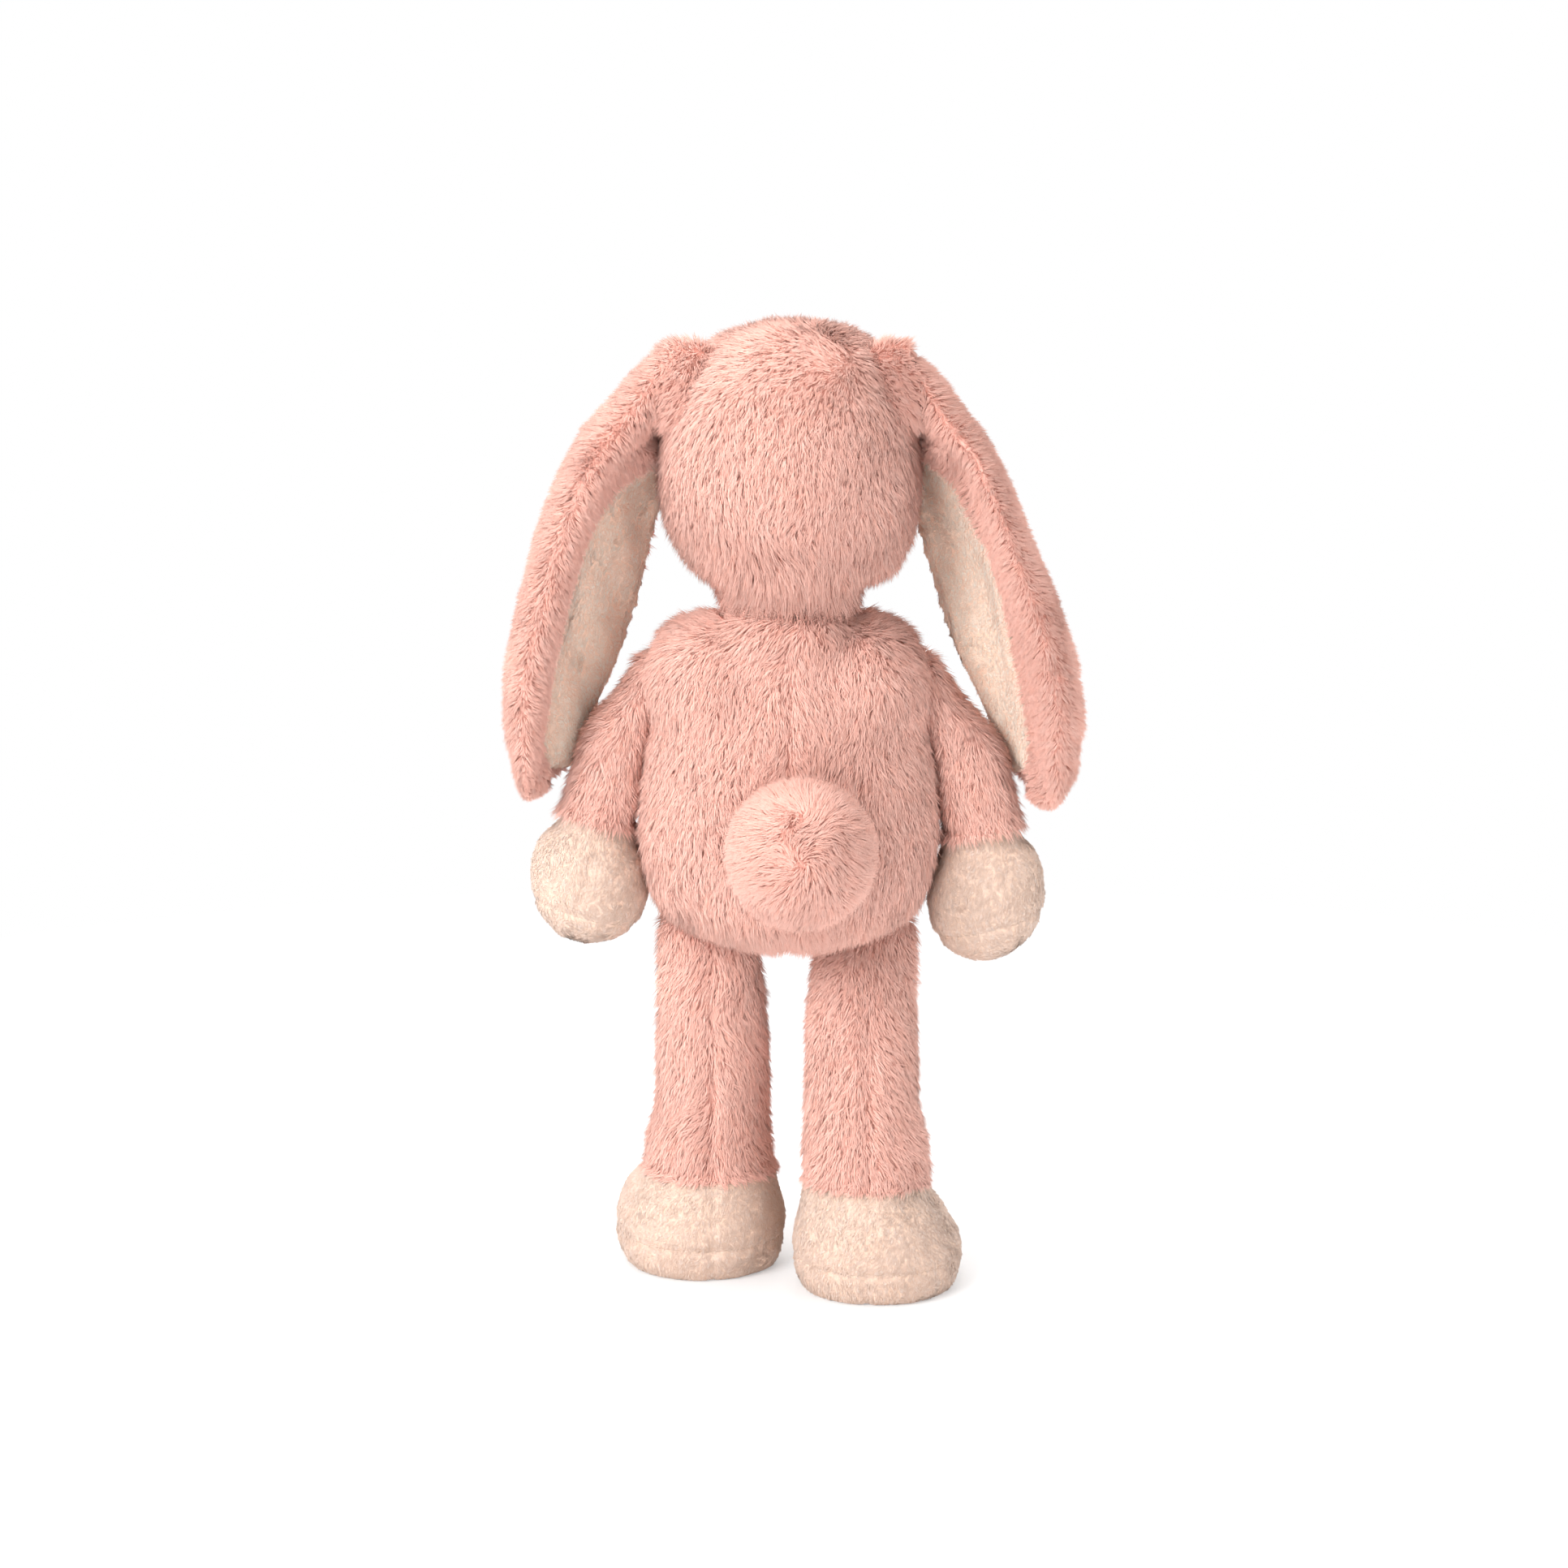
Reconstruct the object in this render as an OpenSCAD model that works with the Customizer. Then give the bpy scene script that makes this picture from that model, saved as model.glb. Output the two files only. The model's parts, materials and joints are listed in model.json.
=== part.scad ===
// Plush rabbit that stands on its own feet: sewn covers over fibre stuffing, pellet bags and face trim.
// Frame: Z up with the floor at Z = 0 under the soles; the rabbit faces -Y and its own left is +X.
// Cover surfaces lie where the pile is pressed together, a few millimetres under the loose tips.

/* [Body] */
// Height of the underside of the body above the floor
body_z = 134.5; // [130:0.5:145]
// Height of the body from its underside to the rim of its neck
body_h = 131; // [120:1:145]
// Width of the body at its widest
body_w = 115; // [100:1:125]
// Depth of the belly in front of the side seams
belly_d = 45; // [38:1:52]
// Depth of the back behind the side seams
back_d = 42; // [36:1:50]

/* [Neck] */
// Radius of the ball at the base of the head, which turns in the socket of the body
neck_ball_r = 24.5; // [22:0.5:27]
// Height of the centre of the neck above the rim of the body
rim_drop = 3; // [2:0.5:5]
// Wall of the body's rim around the ball
rim_wall = 3.2; // [2.5:0.1:5]

/* [Head] */
// Height of the head above the centre of the neck
head_h = 102.5; // [90:0.5:115]
// Width of the head at the cheeks
head_w = 98; // [90:1:106]
// Depth of the face in front of the ear line
face_d = 47; // [42:1:52]
// Depth of the back of the head behind the ear line
nape_d = 48; // [42:1:54]
// How far the muzzle stands out of the face
muzzle_d = 8; // [4:0.5:12]
// Height of the crown seam above the centre of the neck
crown_z = 87; // [80:0.5:92]
// Width of the crown gusset that runs over the head to the nose
gusset_w = 40; // [30:1:44]

/* [Face] */
// Diameter of the domed eyes
eye_d = 11; // [8:0.5:14]
// Height of the eyes above the centre of the neck
eye_z = 55; // [48:0.5:60]
// Angle of each eye from straight ahead, round the head
eye_turn = 30; // [26:1:36]
// Diameter of the eye's shank
shank_d = 3; // [2.5:0.1:4]
// Length of the eye's shank behind the dome
shank_l = 10; // [8:0.5:13]
// Diameter of the lock washer on the shank
washer_d = 12; // [10:0.5:14]
// Thickness of the lock washer
washer_t = 1.6; // [1.2:0.1:2.4]
// Width of the embroidered nose
nose_w = 13; // [10:0.5:16]
// Thickness of the nose's satin stitches
nose_t = 1.6; // [1:0.1:2.5]
// Height of the nose above the centre of the neck
nose_z = 43; // [40:0.5:47]
// Thickness of the mouth's thread
mouth_t = 1.4; // [1:0.1:2]

/* [Ears] */
// Height of the ear hinges above the centre of the neck
ear_root_z = 84; // [80:0.5:86]
// Distance of the ears behind the ear line
ear_y = 2; // [-3:0.5:6]
// Greatest width of an ear laid open
ear_w = 65; // [56:1:68]
// Greatest thickness of an ear
ear_t = 14; // [12.5:0.5:16]
// How deep the ears are cupped
ear_cup = 9; // [5:0.5:11]

/* [Arms] */
// Height of the shoulder pivots above the underside of the body
shoulder_h = 105.5; // [100:0.5:108]
// Length of an arm from its pivot to the end of its paw
arm_l = 111; // [100:1:118]
// Thickness of the sleeves
arm_t = 26; // [24:0.5:29]
// Width of a paw
paw_w = 43; // [38:1:46]
// Length of a paw from the sleeve's hem to its end
paw_l = 50; // [44:1:54]
// Angle of the left arm out from the vertical
left_splay = 16; // [14:0.5:22]
// Angle of the right arm out from the vertical
right_splay = 14; // [11:0.5:20]

/* [Legs] */
// Distance of each leg from the middle
leg_x = 30; // [29:0.5:33]
// Height of the hip pivots above the floor
hip_z = 130.5; // [126:0.5:131]
// Distance of the hip pivots ahead of the side seams
hip_ahead = 9; // [6:0.5:12]
// Width of a leg at its hem
leg_w = 47; // [43:0.5:48]
// Height of the leg's hem above the floor
hem_z = 41; // [38:1:48]
// Distance of each foot ahead of or behind the middle of the stance
stride = 15; // [0:0.5:16]
// Width of a foot
foot_w = 65; // [60:0.5:66]
// Length of a foot
foot_l = 88; // [80:1:96]
// Height of the seam round the sole
sole_seam = 13; // [10:0.5:17]
// Angle that the left foot is turned out by
left_toe_out = 18; // [5:0.5:20]
// Angle that the right foot is turned out by
right_toe_out = 12.5; // [5:0.5:20]

/* [Tail] */
// Diameter of the pompom tail
tail_d = 55; // [46:1:62]
// Height of the middle of the tail above the underside of the body
tail_h = 42.5; // [36:0.5:52]
// How far the middle of the tail stands behind the back
tail_out = 15; // [10:0.5:20]

/* [Cloth and filling] */
// Thickness of the pink plush with its pile pressed
plush_t = 4; // [3:0.1:5]
// Thickness of the cream short-pile cloth
velboa_t = 2; // [1.5:0.1:2.5]
// Gap between a cover and what lies in it
fill_gap = 0.3; // [0.2:0.05:0.5]
// Gap between pieces that turn against each other
joint_gap = 0.4; // [0.3:0.05:0.6]
// Width of the bag of pellets in the seat
seat_bag_w = 66; // [50:1:76]
// Width of the bag of pellets in each foot
foot_bag_w = 40; // [30:1:46]

/* [Hidden] */

pink = [0.93, 0.66, 0.60];
cream = [0.93, 0.83, 0.72];
fibre = [0.96, 0.96, 0.95];
canvas = [0.80, 0.84, 0.88];
black = [0.05, 0.05, 0.06];
rose = [0.66, 0.38, 0.36];

sides = 20;      // facets round each soft form
far = 500;       // reach of the blocks that cut the panels

neck_z = body_z + body_h + rim_drop;
socket_r = neck_ball_r + joint_gap;
wad_r = neck_ball_r - plush_t - 2.5 * joint_gap;
shoulder_z = body_z + shoulder_h;
shoulder_y = -4;
sleeve_l = arm_l - paw_l;
stance_y = -2;   // middle of the stance, from the side seams
heel_l = foot_w / 2;
toe_l = foot_l - heel_l;
tail_x = -4.5;
tail_z = body_z + tail_h;
seam_z = neck_z + crown_z;
nose_h = 0.72 * nose_w;
thread_gap = 0.2;
washer_seat = 1.2;  // from the cover's back to the flat washer, which rests on its rim
hinge_r = 4.2;      // radius of the rolled root of an ear
pivot_in = 0.27 * arm_t;  // from the shoulder pivot in to the arm's flat side

// ---- Soft forms are rows, from the bottom up ----
// row = [z, centre x, centre y, half width, front, back, extra front at the middle, turn about Z]

// A smooth value between b and c, with t from 0 to 1.
function between(a, b, c, d, t) =
    b + (c - a) * t / 2 + (2 * a - 5 * b + 4 * c - d) * t * t / 2 + (3 * b - a - 3 * c + d) * t * t * t / 2;
function smooth(rows, steps) = [
    for (i = [0 : len(rows) - 2], k = [0 : steps - 1])
        between(rows[max(i - 1, 0)], rows[i], rows[i + 1], rows[min(i + 2, len(rows) - 1)], k / steps),
    rows[len(rows) - 1]
];
function row_at(rows, z) = [for (k = [0 : 7]) k == 0 ? z : lookup(z, [for (r = rows) [r[0], r[k]]])];
// The rows between two heights, with one row made at each of them.
function slice(rows, z0, z1) = [
    row_at(rows, z0),
    for (r = rows) if (r[0] > z0 + 0.4 && r[0] < z1 - 0.4) r,
    row_at(rows, z1)
];
function low(rows) = rows[0][0];
function high(rows) = rows[len(rows) - 1][0];
function turned(p, a) = [p.x * cos(a) - p.y * sin(a), p.x * sin(a) + p.y * cos(a)];
// One closed outline round a row, inset by a cloth's thickness.
function outline(r, inset) = [
    for (i = [0 : sides - 1])
        let (
            c = cos(360 * i / sides),
            s = sin(360 * i / sides),
            bump = r[6] * pow(max(0, -s), 6),
            p = turned([(r[3] - inset) * c, (s > 0 ? r[5] - inset : r[4] - inset) * s - bump], r[7])
        )
        [r[1] + p.x, r[2] + p.y, r[0]]
];
// A closed solid through a list of outlines with as many points each.
module skin(outlines) {
    n = len(outlines[0]);
    m = len(outlines);
    polyhedron(
        points = [for (o = outlines) each o],
        faces = [
            [for (i = [0 : n - 1]) i],
            [for (i = [n - 1 : -1 : 0]) (m - 1) * n + i],
            for (j = [0 : m - 2], i = [0 : n - 1])
                let (a = j * n + i, b = j * n + (i + 1) % n)
                each [[a, a + n, b], [b, a + n, b + n]]
        ]
    );
}
module form(rows, inset = 0) skin([for (r = rows) outline(r, inset)]);
// A cover: the form hollowed by its cloth's thickness, open at either end.
module cover(rows, cloth, open_low = false, open_high = false) {
    z0 = low(rows) + (open_low ? -1 : cloth);
    z1 = high(rows) + (open_high ? 1 : -cloth);
    difference() {
        form(rows);
        form(slice(rows, z0, z1), cloth);
    }
}
// Fibre that fills a limb: velboa lies round it below the hem, and plush above.
module limb_filling(rows, hem)
    skin([
        for (r = slice(rows, low(rows) + velboa_t + fill_gap, high(rows) - plush_t - fill_gap))
            outline(r, fill_gap + (r[0] < hem - 0.1 ? velboa_t : plush_t))
    ]);
// A block between two corners, for cutting panels.
module block(from, to) translate(from) cube(to - from);
module pebble(wide, deep, tall)
    form([
        for (a = [-75 : 25 : 75])
            let (c = cos(a) / 2)
            [tall / 2 * sin(a), 0, 0, wide * c, deep * c, deep * c, 0, 0]
    ]);
module placed() translate([0, origin_y, 0]) children();
module mirrored() mirror([1, 0, 0]) children();

// ---- Body ----

// Shares of the body's height, half width, belly and back, from its underside to its neck.
body_shares = [
    [0, 0.26, 0.36, 0.36], [0.035, 0.52, 0.60, 0.60], [0.08, 0.76, 0.80, 0.79], [0.14, 0.91, 0.93, 0.91],
    [0.25, 0.99, 1, 0.98], [0.38, 1, 1, 1], [0.53, 0.97, 0.95, 0.97], [0.69, 0.90, 0.87, 0.90],
    [0.84, 0.79, 0.78, 0.79]
];
rim_r = socket_r + rim_wall;
rim_flare = 2.5 * rim_wall;  // how far the body widens just below its rim
body_rows = smooth([
    for (k = body_shares) [body_z + k[0] * body_h, 0, 0, k[1] * body_w / 2, k[2] * belly_d, k[3] * back_d, 0, 0],
    [body_z + 0.94 * body_h, 0, 0, rim_r + rim_flare, rim_r + 0.6 * rim_flare, rim_r + 0.6 * rim_flare,
        0, 0],
    [body_z + body_h, 0, 0, rim_r, rim_r, rim_r, 0, 0]
], 2);

module socket() translate([0, 0, neck_z]) sphere(socket_r, $fn = 64);
module body_cover() difference() {
    cover(body_rows, plush_t, open_high = true);
    socket();
}
module body_back_left() color(pink) placed() intersection() {
    body_cover();
    block([0, 0, 0], [far, far, far]);
}
module body_back_right() color(pink) placed() intersection() {
    body_cover();
    block([-far, 0, 0], [0, far, far]);
}
module body_front() color(pink) placed() intersection() {
    body_cover();
    block([-far, -far, 0], [far, 0, far]);
}
seat_bag_t = 20;
seat_bag_z = body_z + plush_t + 0.8 * seat_bag_t;
module seat_bag(grown = 0) translate([0, 0, seat_bag_z])
    pebble(seat_bag_w + 2 * grown, 0.75 * seat_bag_w + 2 * grown, seat_bag_t + 2 * grown);
module body_stuffing() color(fibre) placed() difference() {
    form(slice(body_rows, body_z + plush_t + fill_gap, high(body_rows) - 1), plush_t + fill_gap);
    socket();
    seat_bag(fill_gap);
}
module seat_pellet_bag() color(canvas) placed() seat_bag();

// ---- Tail: a pompom with its front shaped to the back ----

tail_y = lookup(tail_z, [for (r = body_rows) [r[0], r[5]]]) + tail_out;

// The frame's origin is under the middle of the rabbit's overall box.
front_y = stance_y - stride - toe_l * cos(left_toe_out);
origin_y = -(front_y + tail_y + tail_d / 2) / 2;

module tail_ball(cloth, reach = 0) difference() {
    translate([tail_x, tail_y, tail_z]) sphere(tail_d / 2 - cloth, $fn = 48);
    form(body_rows, reach - joint_gap);
}
// The cover is open at the front, where its edge is sewn round to the back panels.
module tail_cover() color(pink) placed() difference() {
    tail_ball(0);
    tail_ball(plush_t, 2);
}
module tail_stuffing() color(fibre) placed() tail_ball(plush_t + fill_gap);

// ---- Neck ----

module neck_wad(grown = 0) translate([0, 0, neck_z]) sphere(wad_r + grown, $fn = 64);
module neck_stuffing() color(fibre) placed() neck_wad();

// ---- Head ----

// Shares of the head's height, half width, face, nape and muzzle, from the centre of the neck up.
head_shares = [
    [0.10, 0.67, 0.66, 0.66, 0], [0.22, 0.87, 0.88, 0.86, 0.45], [0.345, 0.975, 0.99, 0.965, 0.95],
    [0.45, 1, 1.02, 1, 0.9], [0.57, 0.985, 1, 0.99, 0.25], [0.70, 0.92, 0.93, 0.93, 0],
    [0.83, 0.81, 0.80, 0.80, 0], [0.93, 0.63, 0.61, 0.61, 0], [0.98, 0.42, 0.40, 0.40, 0],
    [1, 0.1, 0.1, 0.1, 0]
];
function ball_row(a) =
    let (r = neck_ball_r * cos(a))
    [neck_z + neck_ball_r * sin(a), 0, 0, r, r, r, 0, 0];
head_rows = concat(
    [for (a = [-38, -19, 0]) ball_row(a)],
    smooth([
        ball_row(16),
        for (k = head_shares) [
            neck_z + k[0] * head_h, 0, 0, k[1] * head_w / 2, k[2] * face_d, k[3] * nape_d, k[4] * muzzle_d, 0
        ]
    ], 2)
);
// Where the face's surface is, in front of a point.
function face_y(x, z) =
    let (r = row_at(head_rows, z), s = sqrt(1 - pow(x / r[3], 2)))
    -r[4] * s - r[6] * pow(s, 6);

module eye_place() {
    z = neck_z + eye_z;
    r = row_at(head_rows, z);
    x = r[3] * sin(eye_turn);
    lean = atan2(face_y(x, z + eye_d / 2) - face_y(x, z - eye_d / 2), eye_d);
    translate([x, face_y(x, z), z])
        rotate([90 - lean, 0, atan2(sin(eye_turn) / r[3], cos(eye_turn) / r[4])])
        children();
}
module both_eye_places() {
    eye_place() children();
    mirrored() eye_place() children();
}
module head_cover() difference() {
    cover(head_rows, plush_t, open_low = true);
    both_eye_places() translate([0, 0, -2.5 * plush_t]) cylinder(r = shank_d / 2 + 0.1, h = 3.25 * plush_t, $fn = 32);
}
module back_zone() block([-far, 0, 0], [far, far, seam_z]);
// The gusset is full width over the crown and narrows between the eyes to the nose.
module gusset_zone() difference() {
    half = gusset_w / 2;
    tip = nose_w / 2;
    tip_z = neck_z + nose_z - nose_h / 2;
    rotate([90, 0, 0]) translate([0, 0, -far / 2]) linear_extrude(far)
        polygon([
            [-tip, tip_z], [tip, tip_z], [half, neck_z + eye_z + eye_d], [half, far],
            [-half, far], [-half, neck_z + eye_z + eye_d]
        ]);
    back_zone();
}
module head_back() color(pink) placed() intersection() {
    head_cover();
    back_zone();
}
module head_gusset() color(pink) placed() intersection() {
    head_cover();
    gusset_zone();
}
module cheek(from_x, to_x) color(pink) placed() difference() {
    intersection() {
        head_cover();
        block([from_x, -far, 0], [to_x, far, far]);
    }
    back_zone();
    gusset_zone();
}
module left_cheek() cheek(0, far);
module right_cheek() cheek(-far, 0);
module head_stuffing() color(fibre) placed() difference() {
    form(slice(head_rows, neck_z + 2 * plush_t, high(head_rows) - plush_t - fill_gap), plush_t + fill_gap);
    neck_wad(joint_gap);
    both_eye_places() {
        translate([0, 0, -shank_l - fill_gap]) cylinder(r = shank_d / 2 + fill_gap, h = shank_l, $fn = 32);
        translate([0, 0, -plush_t - washer_seat - washer_t - fill_gap])
            cylinder(r = washer_d / 2 + fill_gap, h = plush_t + washer_t + washer_seat, $fn = 48);
    }
}

// ---- Face ----

module eye() color(black) eye_place() {
    sink = 0.15 * eye_d;
    translate([0, 0, fill_gap]) intersection() {
        translate([0, 0, -sink]) sphere(norm([eye_d / 2, sink]), $fn = 48);
        cylinder(d = eye_d, h = eye_d, $fn = 48);
    }
    translate([0, 0, -shank_l]) cylinder(d = shank_d, h = shank_l + fill_gap, $fn = 32);
}
module eye_washer() color(black) eye_place()
    translate([0, 0, -plush_t - washer_seat - washer_t]) difference() {
        cylinder(d = washer_d, h = washer_t, $fn = 48);
        translate([0, 0, -1]) cylinder(d = shank_d + 0.1, h = washer_t + 2, $fn = 32);
    }
module left_eye() placed() eye();
module right_eye() placed() mirrored() eye();
module left_eye_washer() placed() eye_washer();
module right_eye_washer() placed() mirrored() eye_washer();

module nose() color(rose) placed()
    translate([0, face_y(0, neck_z + nose_z) - fill_gap, neck_z + nose_z]) rotate([90, 0, 0])
    linear_extrude(nose_t) hull() {
        for (x = [-1, 1]) translate([x * (nose_w / 2 - 2), nose_h / 2 - 2]) circle(2, $fn = 24);
        translate([0, -nose_h / 2 + 1.6]) circle(1.6, $fn = 24);
    }

// A round thread laid over the face along a list of [x, z] points.
module thread(line) {
    r = mouth_t / 2;
    at = [for (p = line) [p.x, face_y(p.x, p.y) - r - thread_gap, p.y]];
    last = len(at) - 1;
    skin([
        for (i = [0 : last])
            let (
                ahead = at[min(i + 1, last)] - at[max(i - 1, 0)],
                across = cross(ahead, [0, -1, 0]) / norm(cross(ahead, [0, -1, 0])),
                out = cross(across, ahead) / norm(ahead)
            )
            [for (a = [0 : 60 : 300]) at[i] + r * (cos(a) * across + sin(a) * out)]
    ]);
}
lip_z = neck_z + nose_z - nose_h / 2 - 6;
lip_r = 4.6;
module mouth() color(rose) placed() {
    thread([for (z = [0.6, 3, 5.2]) [0, lip_z + z]]);
    for (side = [-1, 1])
        thread([for (a = [4 : 24 : 148]) [side * lip_r * (1 - cos(a)) + side * 0.8, lip_z - lip_r * sin(a)]]);
}

// ---- Ears ----

root_row = row_at(head_rows, neck_z + ear_root_z);
root_above = row_at(head_rows, neck_z + ear_root_z + 3);
// Slope of the side of the head at the root, as an angle from level.
root_lean = atan2(root_row[3] - root_above[3], 3);
ear_x = root_row[3] + (hinge_r + joint_gap) * cos(root_lean);
ear_z = neck_z + ear_root_z + (hinge_r + joint_gap) * sin(root_lean);

// Rows along the ear: [out, up, share of half width, share of half thickness, turn, share of cup, roll]
ear_rows = [
    [-3.9, -0.4, 0.40, 0.22, 0, 0, 1.3], [-2, -0.2, 0.42, 0.52, 0, 0, 1.3], [0, 0, 0.44, 0.60, 0, 0, 1.3],
    [6, -3, 0.50, 1.1, 3, 0.1, 1.3], [12, -13, 0.62, 1.4, 8, 0.3, 1.25], [17.5, -26, 0.78, 1.2, 18, 0.75, 1.1],
    [24, -41, 0.91, 1, 25, 1, 0.7], [31.5, -65, 1, 1, 28, 1, 0.45], [39, -89, 1, 1, 28, 0.95, 0.45],
    [46, -114, 0.95, 0.96, 28, 0.85, 0.5], [51.5, -137, 0.82, 0.9, 28, 0.65, 0.6],
    [54.5, -153, 0.62, 0.8, 28, 0.4, 0.85], [55.8, -164, 0.36, 0.6, 28, 0.15, 1.3],
    [56.1, -168, 0.12, 0.3, 28, 0, 1.5]
];
ear_steps = 8;  // facets across an ear

// The point of an ear at a share u of its width and a height v over its middle layer.
function ear_point(i, u, v) =
    let (
        r = ear_rows[i],
        next = ear_rows[min(i + 1, len(ear_rows) - 1)],
        last = ear_rows[max(i - 1, 0)],
        run = [next[0] - last[0], next[1] - last[1]],
        inward = [run.y, 0, -run.x] / norm(run),
        across = [0, cos(r[4]), 0] - sin(r[4]) * inward,
        lining = cos(r[4]) * inward + [0, sin(r[4]), 0]
    )
    [r[0], 0, r[1]] + across * (u * r[2] * ear_w / 2) + lining * (v + r[5] * ear_cup * (u * u - 0.5));
function half_t(i) = ear_rows[i][3] * ear_t / 2;
function edge_t(i, u) = half_t(i) * sqrt(max(0, 1 - u * u));
function spread(from, to) = [for (i = [0 : ear_steps]) from + (to - from) * (1 - cos(180 * i / ear_steps)) / 2];
// A layer of the ear between two widths, from one height up to another; each is a function of row and width.
module ear_layer(rows, from_u, to_u, floor_v, roof_v)
    skin([
        for (i = rows)
            let (us = spread(from_u(i), to_u(i)))
            concat(
                [for (u = us) ear_point(i, u, floor_v(i, u))],
                [for (k = [ear_steps - 1 : -1 : 1]) ear_point(i, us[k], roof_v(i, us[k]))]
            )
    ]);
// The plush is turned over the back edge in a roll, which begins at this share of the width.
function roll_u(i) = 0.98 - 1.3 * ear_rows[i][6];
all_rows = [for (i = [0 : len(ear_rows) - 1]) i];
module ear_outer_cloth() {
    skin([
        for (i = all_rows)
            let (flat = spread(-1, roll_u(i)), roll = spread(roll_u(i), 1))
            concat(
                [for (u = flat) ear_point(i, u, -edge_t(i, u))],
                [for (k = [1 : ear_steps]) ear_point(i, roll[k], -edge_t(i, roll[k]))],
                [for (k = [ear_steps - 1 : -1 : 0]) ear_point(i, roll[k], edge_t(i, roll[k]))],
                [for (k = [ear_steps : -1 : 1]) ear_point(i, flat[k], min(0, plush_t - edge_t(i, flat[k])))]
            )
    ]);
}
lined_rows = [for (i = all_rows) if (roll_u(i) > -0.6) i];
module ear_lining_cloth() ear_layer(lined_rows, function (i) -1, function (i) roll_u(i),
    function (i, u) max(0, edge_t(i, u) - velboa_t), function (i, u) edge_t(i, u));
pad_slack = 0.5;
pad_least = (plush_t + velboa_t) / 2 + pad_slack + 0.2;
padded_rows = [for (i = lined_rows) if (i > 1 && half_t(i) > pad_least + 0.5) i];
function pad_reach(i) = sqrt(1 - pow(pad_least / half_t(i), 2));
module ear_pad() ear_layer(padded_rows, function (i) -pad_reach(i),
    function (i) min(pad_reach(i), roll_u(i) - 0.03),
    function (i, u) plush_t + pad_slack - edge_t(i, u), function (i, u) edge_t(i, u) - velboa_t - pad_slack);

module at_ear() placed() translate([ear_x, ear_y, ear_z]) children();
module at_right_ear() placed() mirrored() translate([ear_x, ear_y, ear_z]) children();
module left_ear_outer() color(pink) at_ear() ear_outer_cloth();
module left_ear_lining() color(cream) at_ear() ear_lining_cloth();
module left_ear_padding() color(fibre) at_ear() ear_pad();
module right_ear_outer() color(pink) at_right_ear() ear_outer_cloth();
module right_ear_lining() color(cream) at_right_ear() ear_lining_cloth();
module right_ear_padding() color(fibre) at_right_ear() ear_pad();

// ---- Arms: Z = 0 is the shoulder pivot, and the arm hangs down with its flat side towards the body ----

// [z, inner side, outer side, half depth] of an arm
function arm_row(z, inner, outer, deep) = [z, (outer - inner) / 2, 0, (outer + inner) / 2, deep, deep, 0, 0];
arm_h = arm_t / 2;
paw_h = paw_w / 2;
arm_rows = [
    for (k = [
        [1, 0.18, 0.16], [0.96, 0.45, 0.42], [0.86, 0.75, 0.68], [0.70, 0.95, 0.85],
        [0.50, 1, 0.90], [0.32, 0.95, 0.85], [0.15, 0.75, 0.74]
    ]) arm_row(-sleeve_l - k[0] * paw_l, k[1] * paw_h, k[1] * paw_h, k[2] * paw_h),
    arm_row(-sleeve_l, 0.96 * arm_h, 1.06 * arm_h, 1.06 * arm_h),
    arm_row(-0.8 * sleeve_l, 0.85 * arm_h, 1.04 * arm_h, 1.02 * arm_h),
    arm_row(-0.55 * sleeve_l, 0.70 * arm_h, 1.04 * arm_h, arm_h),
    arm_row(-0.28 * sleeve_l, 0.57 * arm_h, arm_h, 0.96 * arm_h),
    arm_row(0, pivot_in, 0.92 * arm_h, 0.92 * arm_h),
    arm_row(0.48 * arm_h, 0.52 * arm_h, 0.82 * arm_h, 0.80 * arm_h),
    arm_row(0.78 * arm_h, 0.44 * arm_h, 0.60 * arm_h, 0.52 * arm_h),
    arm_row(0.93 * arm_h, 0.2 * arm_h, 0.26 * arm_h, 0.16 * arm_h)
];
body_girth = [for (r = body_rows) [r[0], r[3]]];
// The arms settle this far into the gap that the facets of body and arm leave between them.
arm_settle = 0.2;
// Distance of the shoulder pivot from the middle, with the arm's flat side and its paw laid on the body.
function shoulder_x(splay) =
    let (
        plane = max([for (r = body_rows) r[3] * cos(splay) + r[0] * sin(splay)]) + joint_gap,
        flat = (plane + pivot_in - shoulder_z * sin(splay)) / cos(splay),
        along = max([
            for (r = arm_rows)
                let (inner = r[3] - r[1])
                lookup(shoulder_z + r[0] * cos(splay) - inner * sin(splay), body_girth)
                    + joint_gap + inner * cos(splay) + r[0] * sin(splay)
        ])
    )
    max(flat, along) - arm_settle;
module at_arm(splay) placed() translate([shoulder_x(splay), shoulder_y, shoulder_z])
    rotate([0, -splay, 0]) children();
module at_right_arm() placed() mirrored() translate([shoulder_x(right_splay), shoulder_y, shoulder_z])
    rotate([0, -right_splay, 0]) children();

paw_seam_z = -sleeve_l - 0.72 * paw_l;
module arm_cover() cover(slice(arm_rows, -sleeve_l, high(arm_rows)), plush_t, open_low = true);
module paw_cover() cover(slice(arm_rows, low(arm_rows), -sleeve_l), velboa_t, open_high = true);
module paw_side(from_x, to_x) intersection() {
    paw_cover();
    block([from_x, -far, paw_seam_z], [to_x, far, far]);
}
module paw_pad() intersection() {
    paw_cover();
    block([-far, -far, -far], [far, far, paw_seam_z]);
}
module left_arm_cover() color(pink) at_arm(left_splay) arm_cover();
module left_paw_outer() color(cream) at_arm(left_splay) paw_side(0, far);
module left_paw_inner() color(cream) at_arm(left_splay) paw_side(-far, 0);
module left_paw_pad() color(cream) at_arm(left_splay) paw_pad();
module left_arm_stuffing() color(fibre) at_arm(left_splay) limb_filling(arm_rows, -sleeve_l);
module right_arm_cover() color(pink) at_right_arm() arm_cover();
module right_paw_outer() color(cream) at_right_arm() paw_side(0, far);
module right_paw_inner() color(cream) at_right_arm() paw_side(-far, 0);
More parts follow.
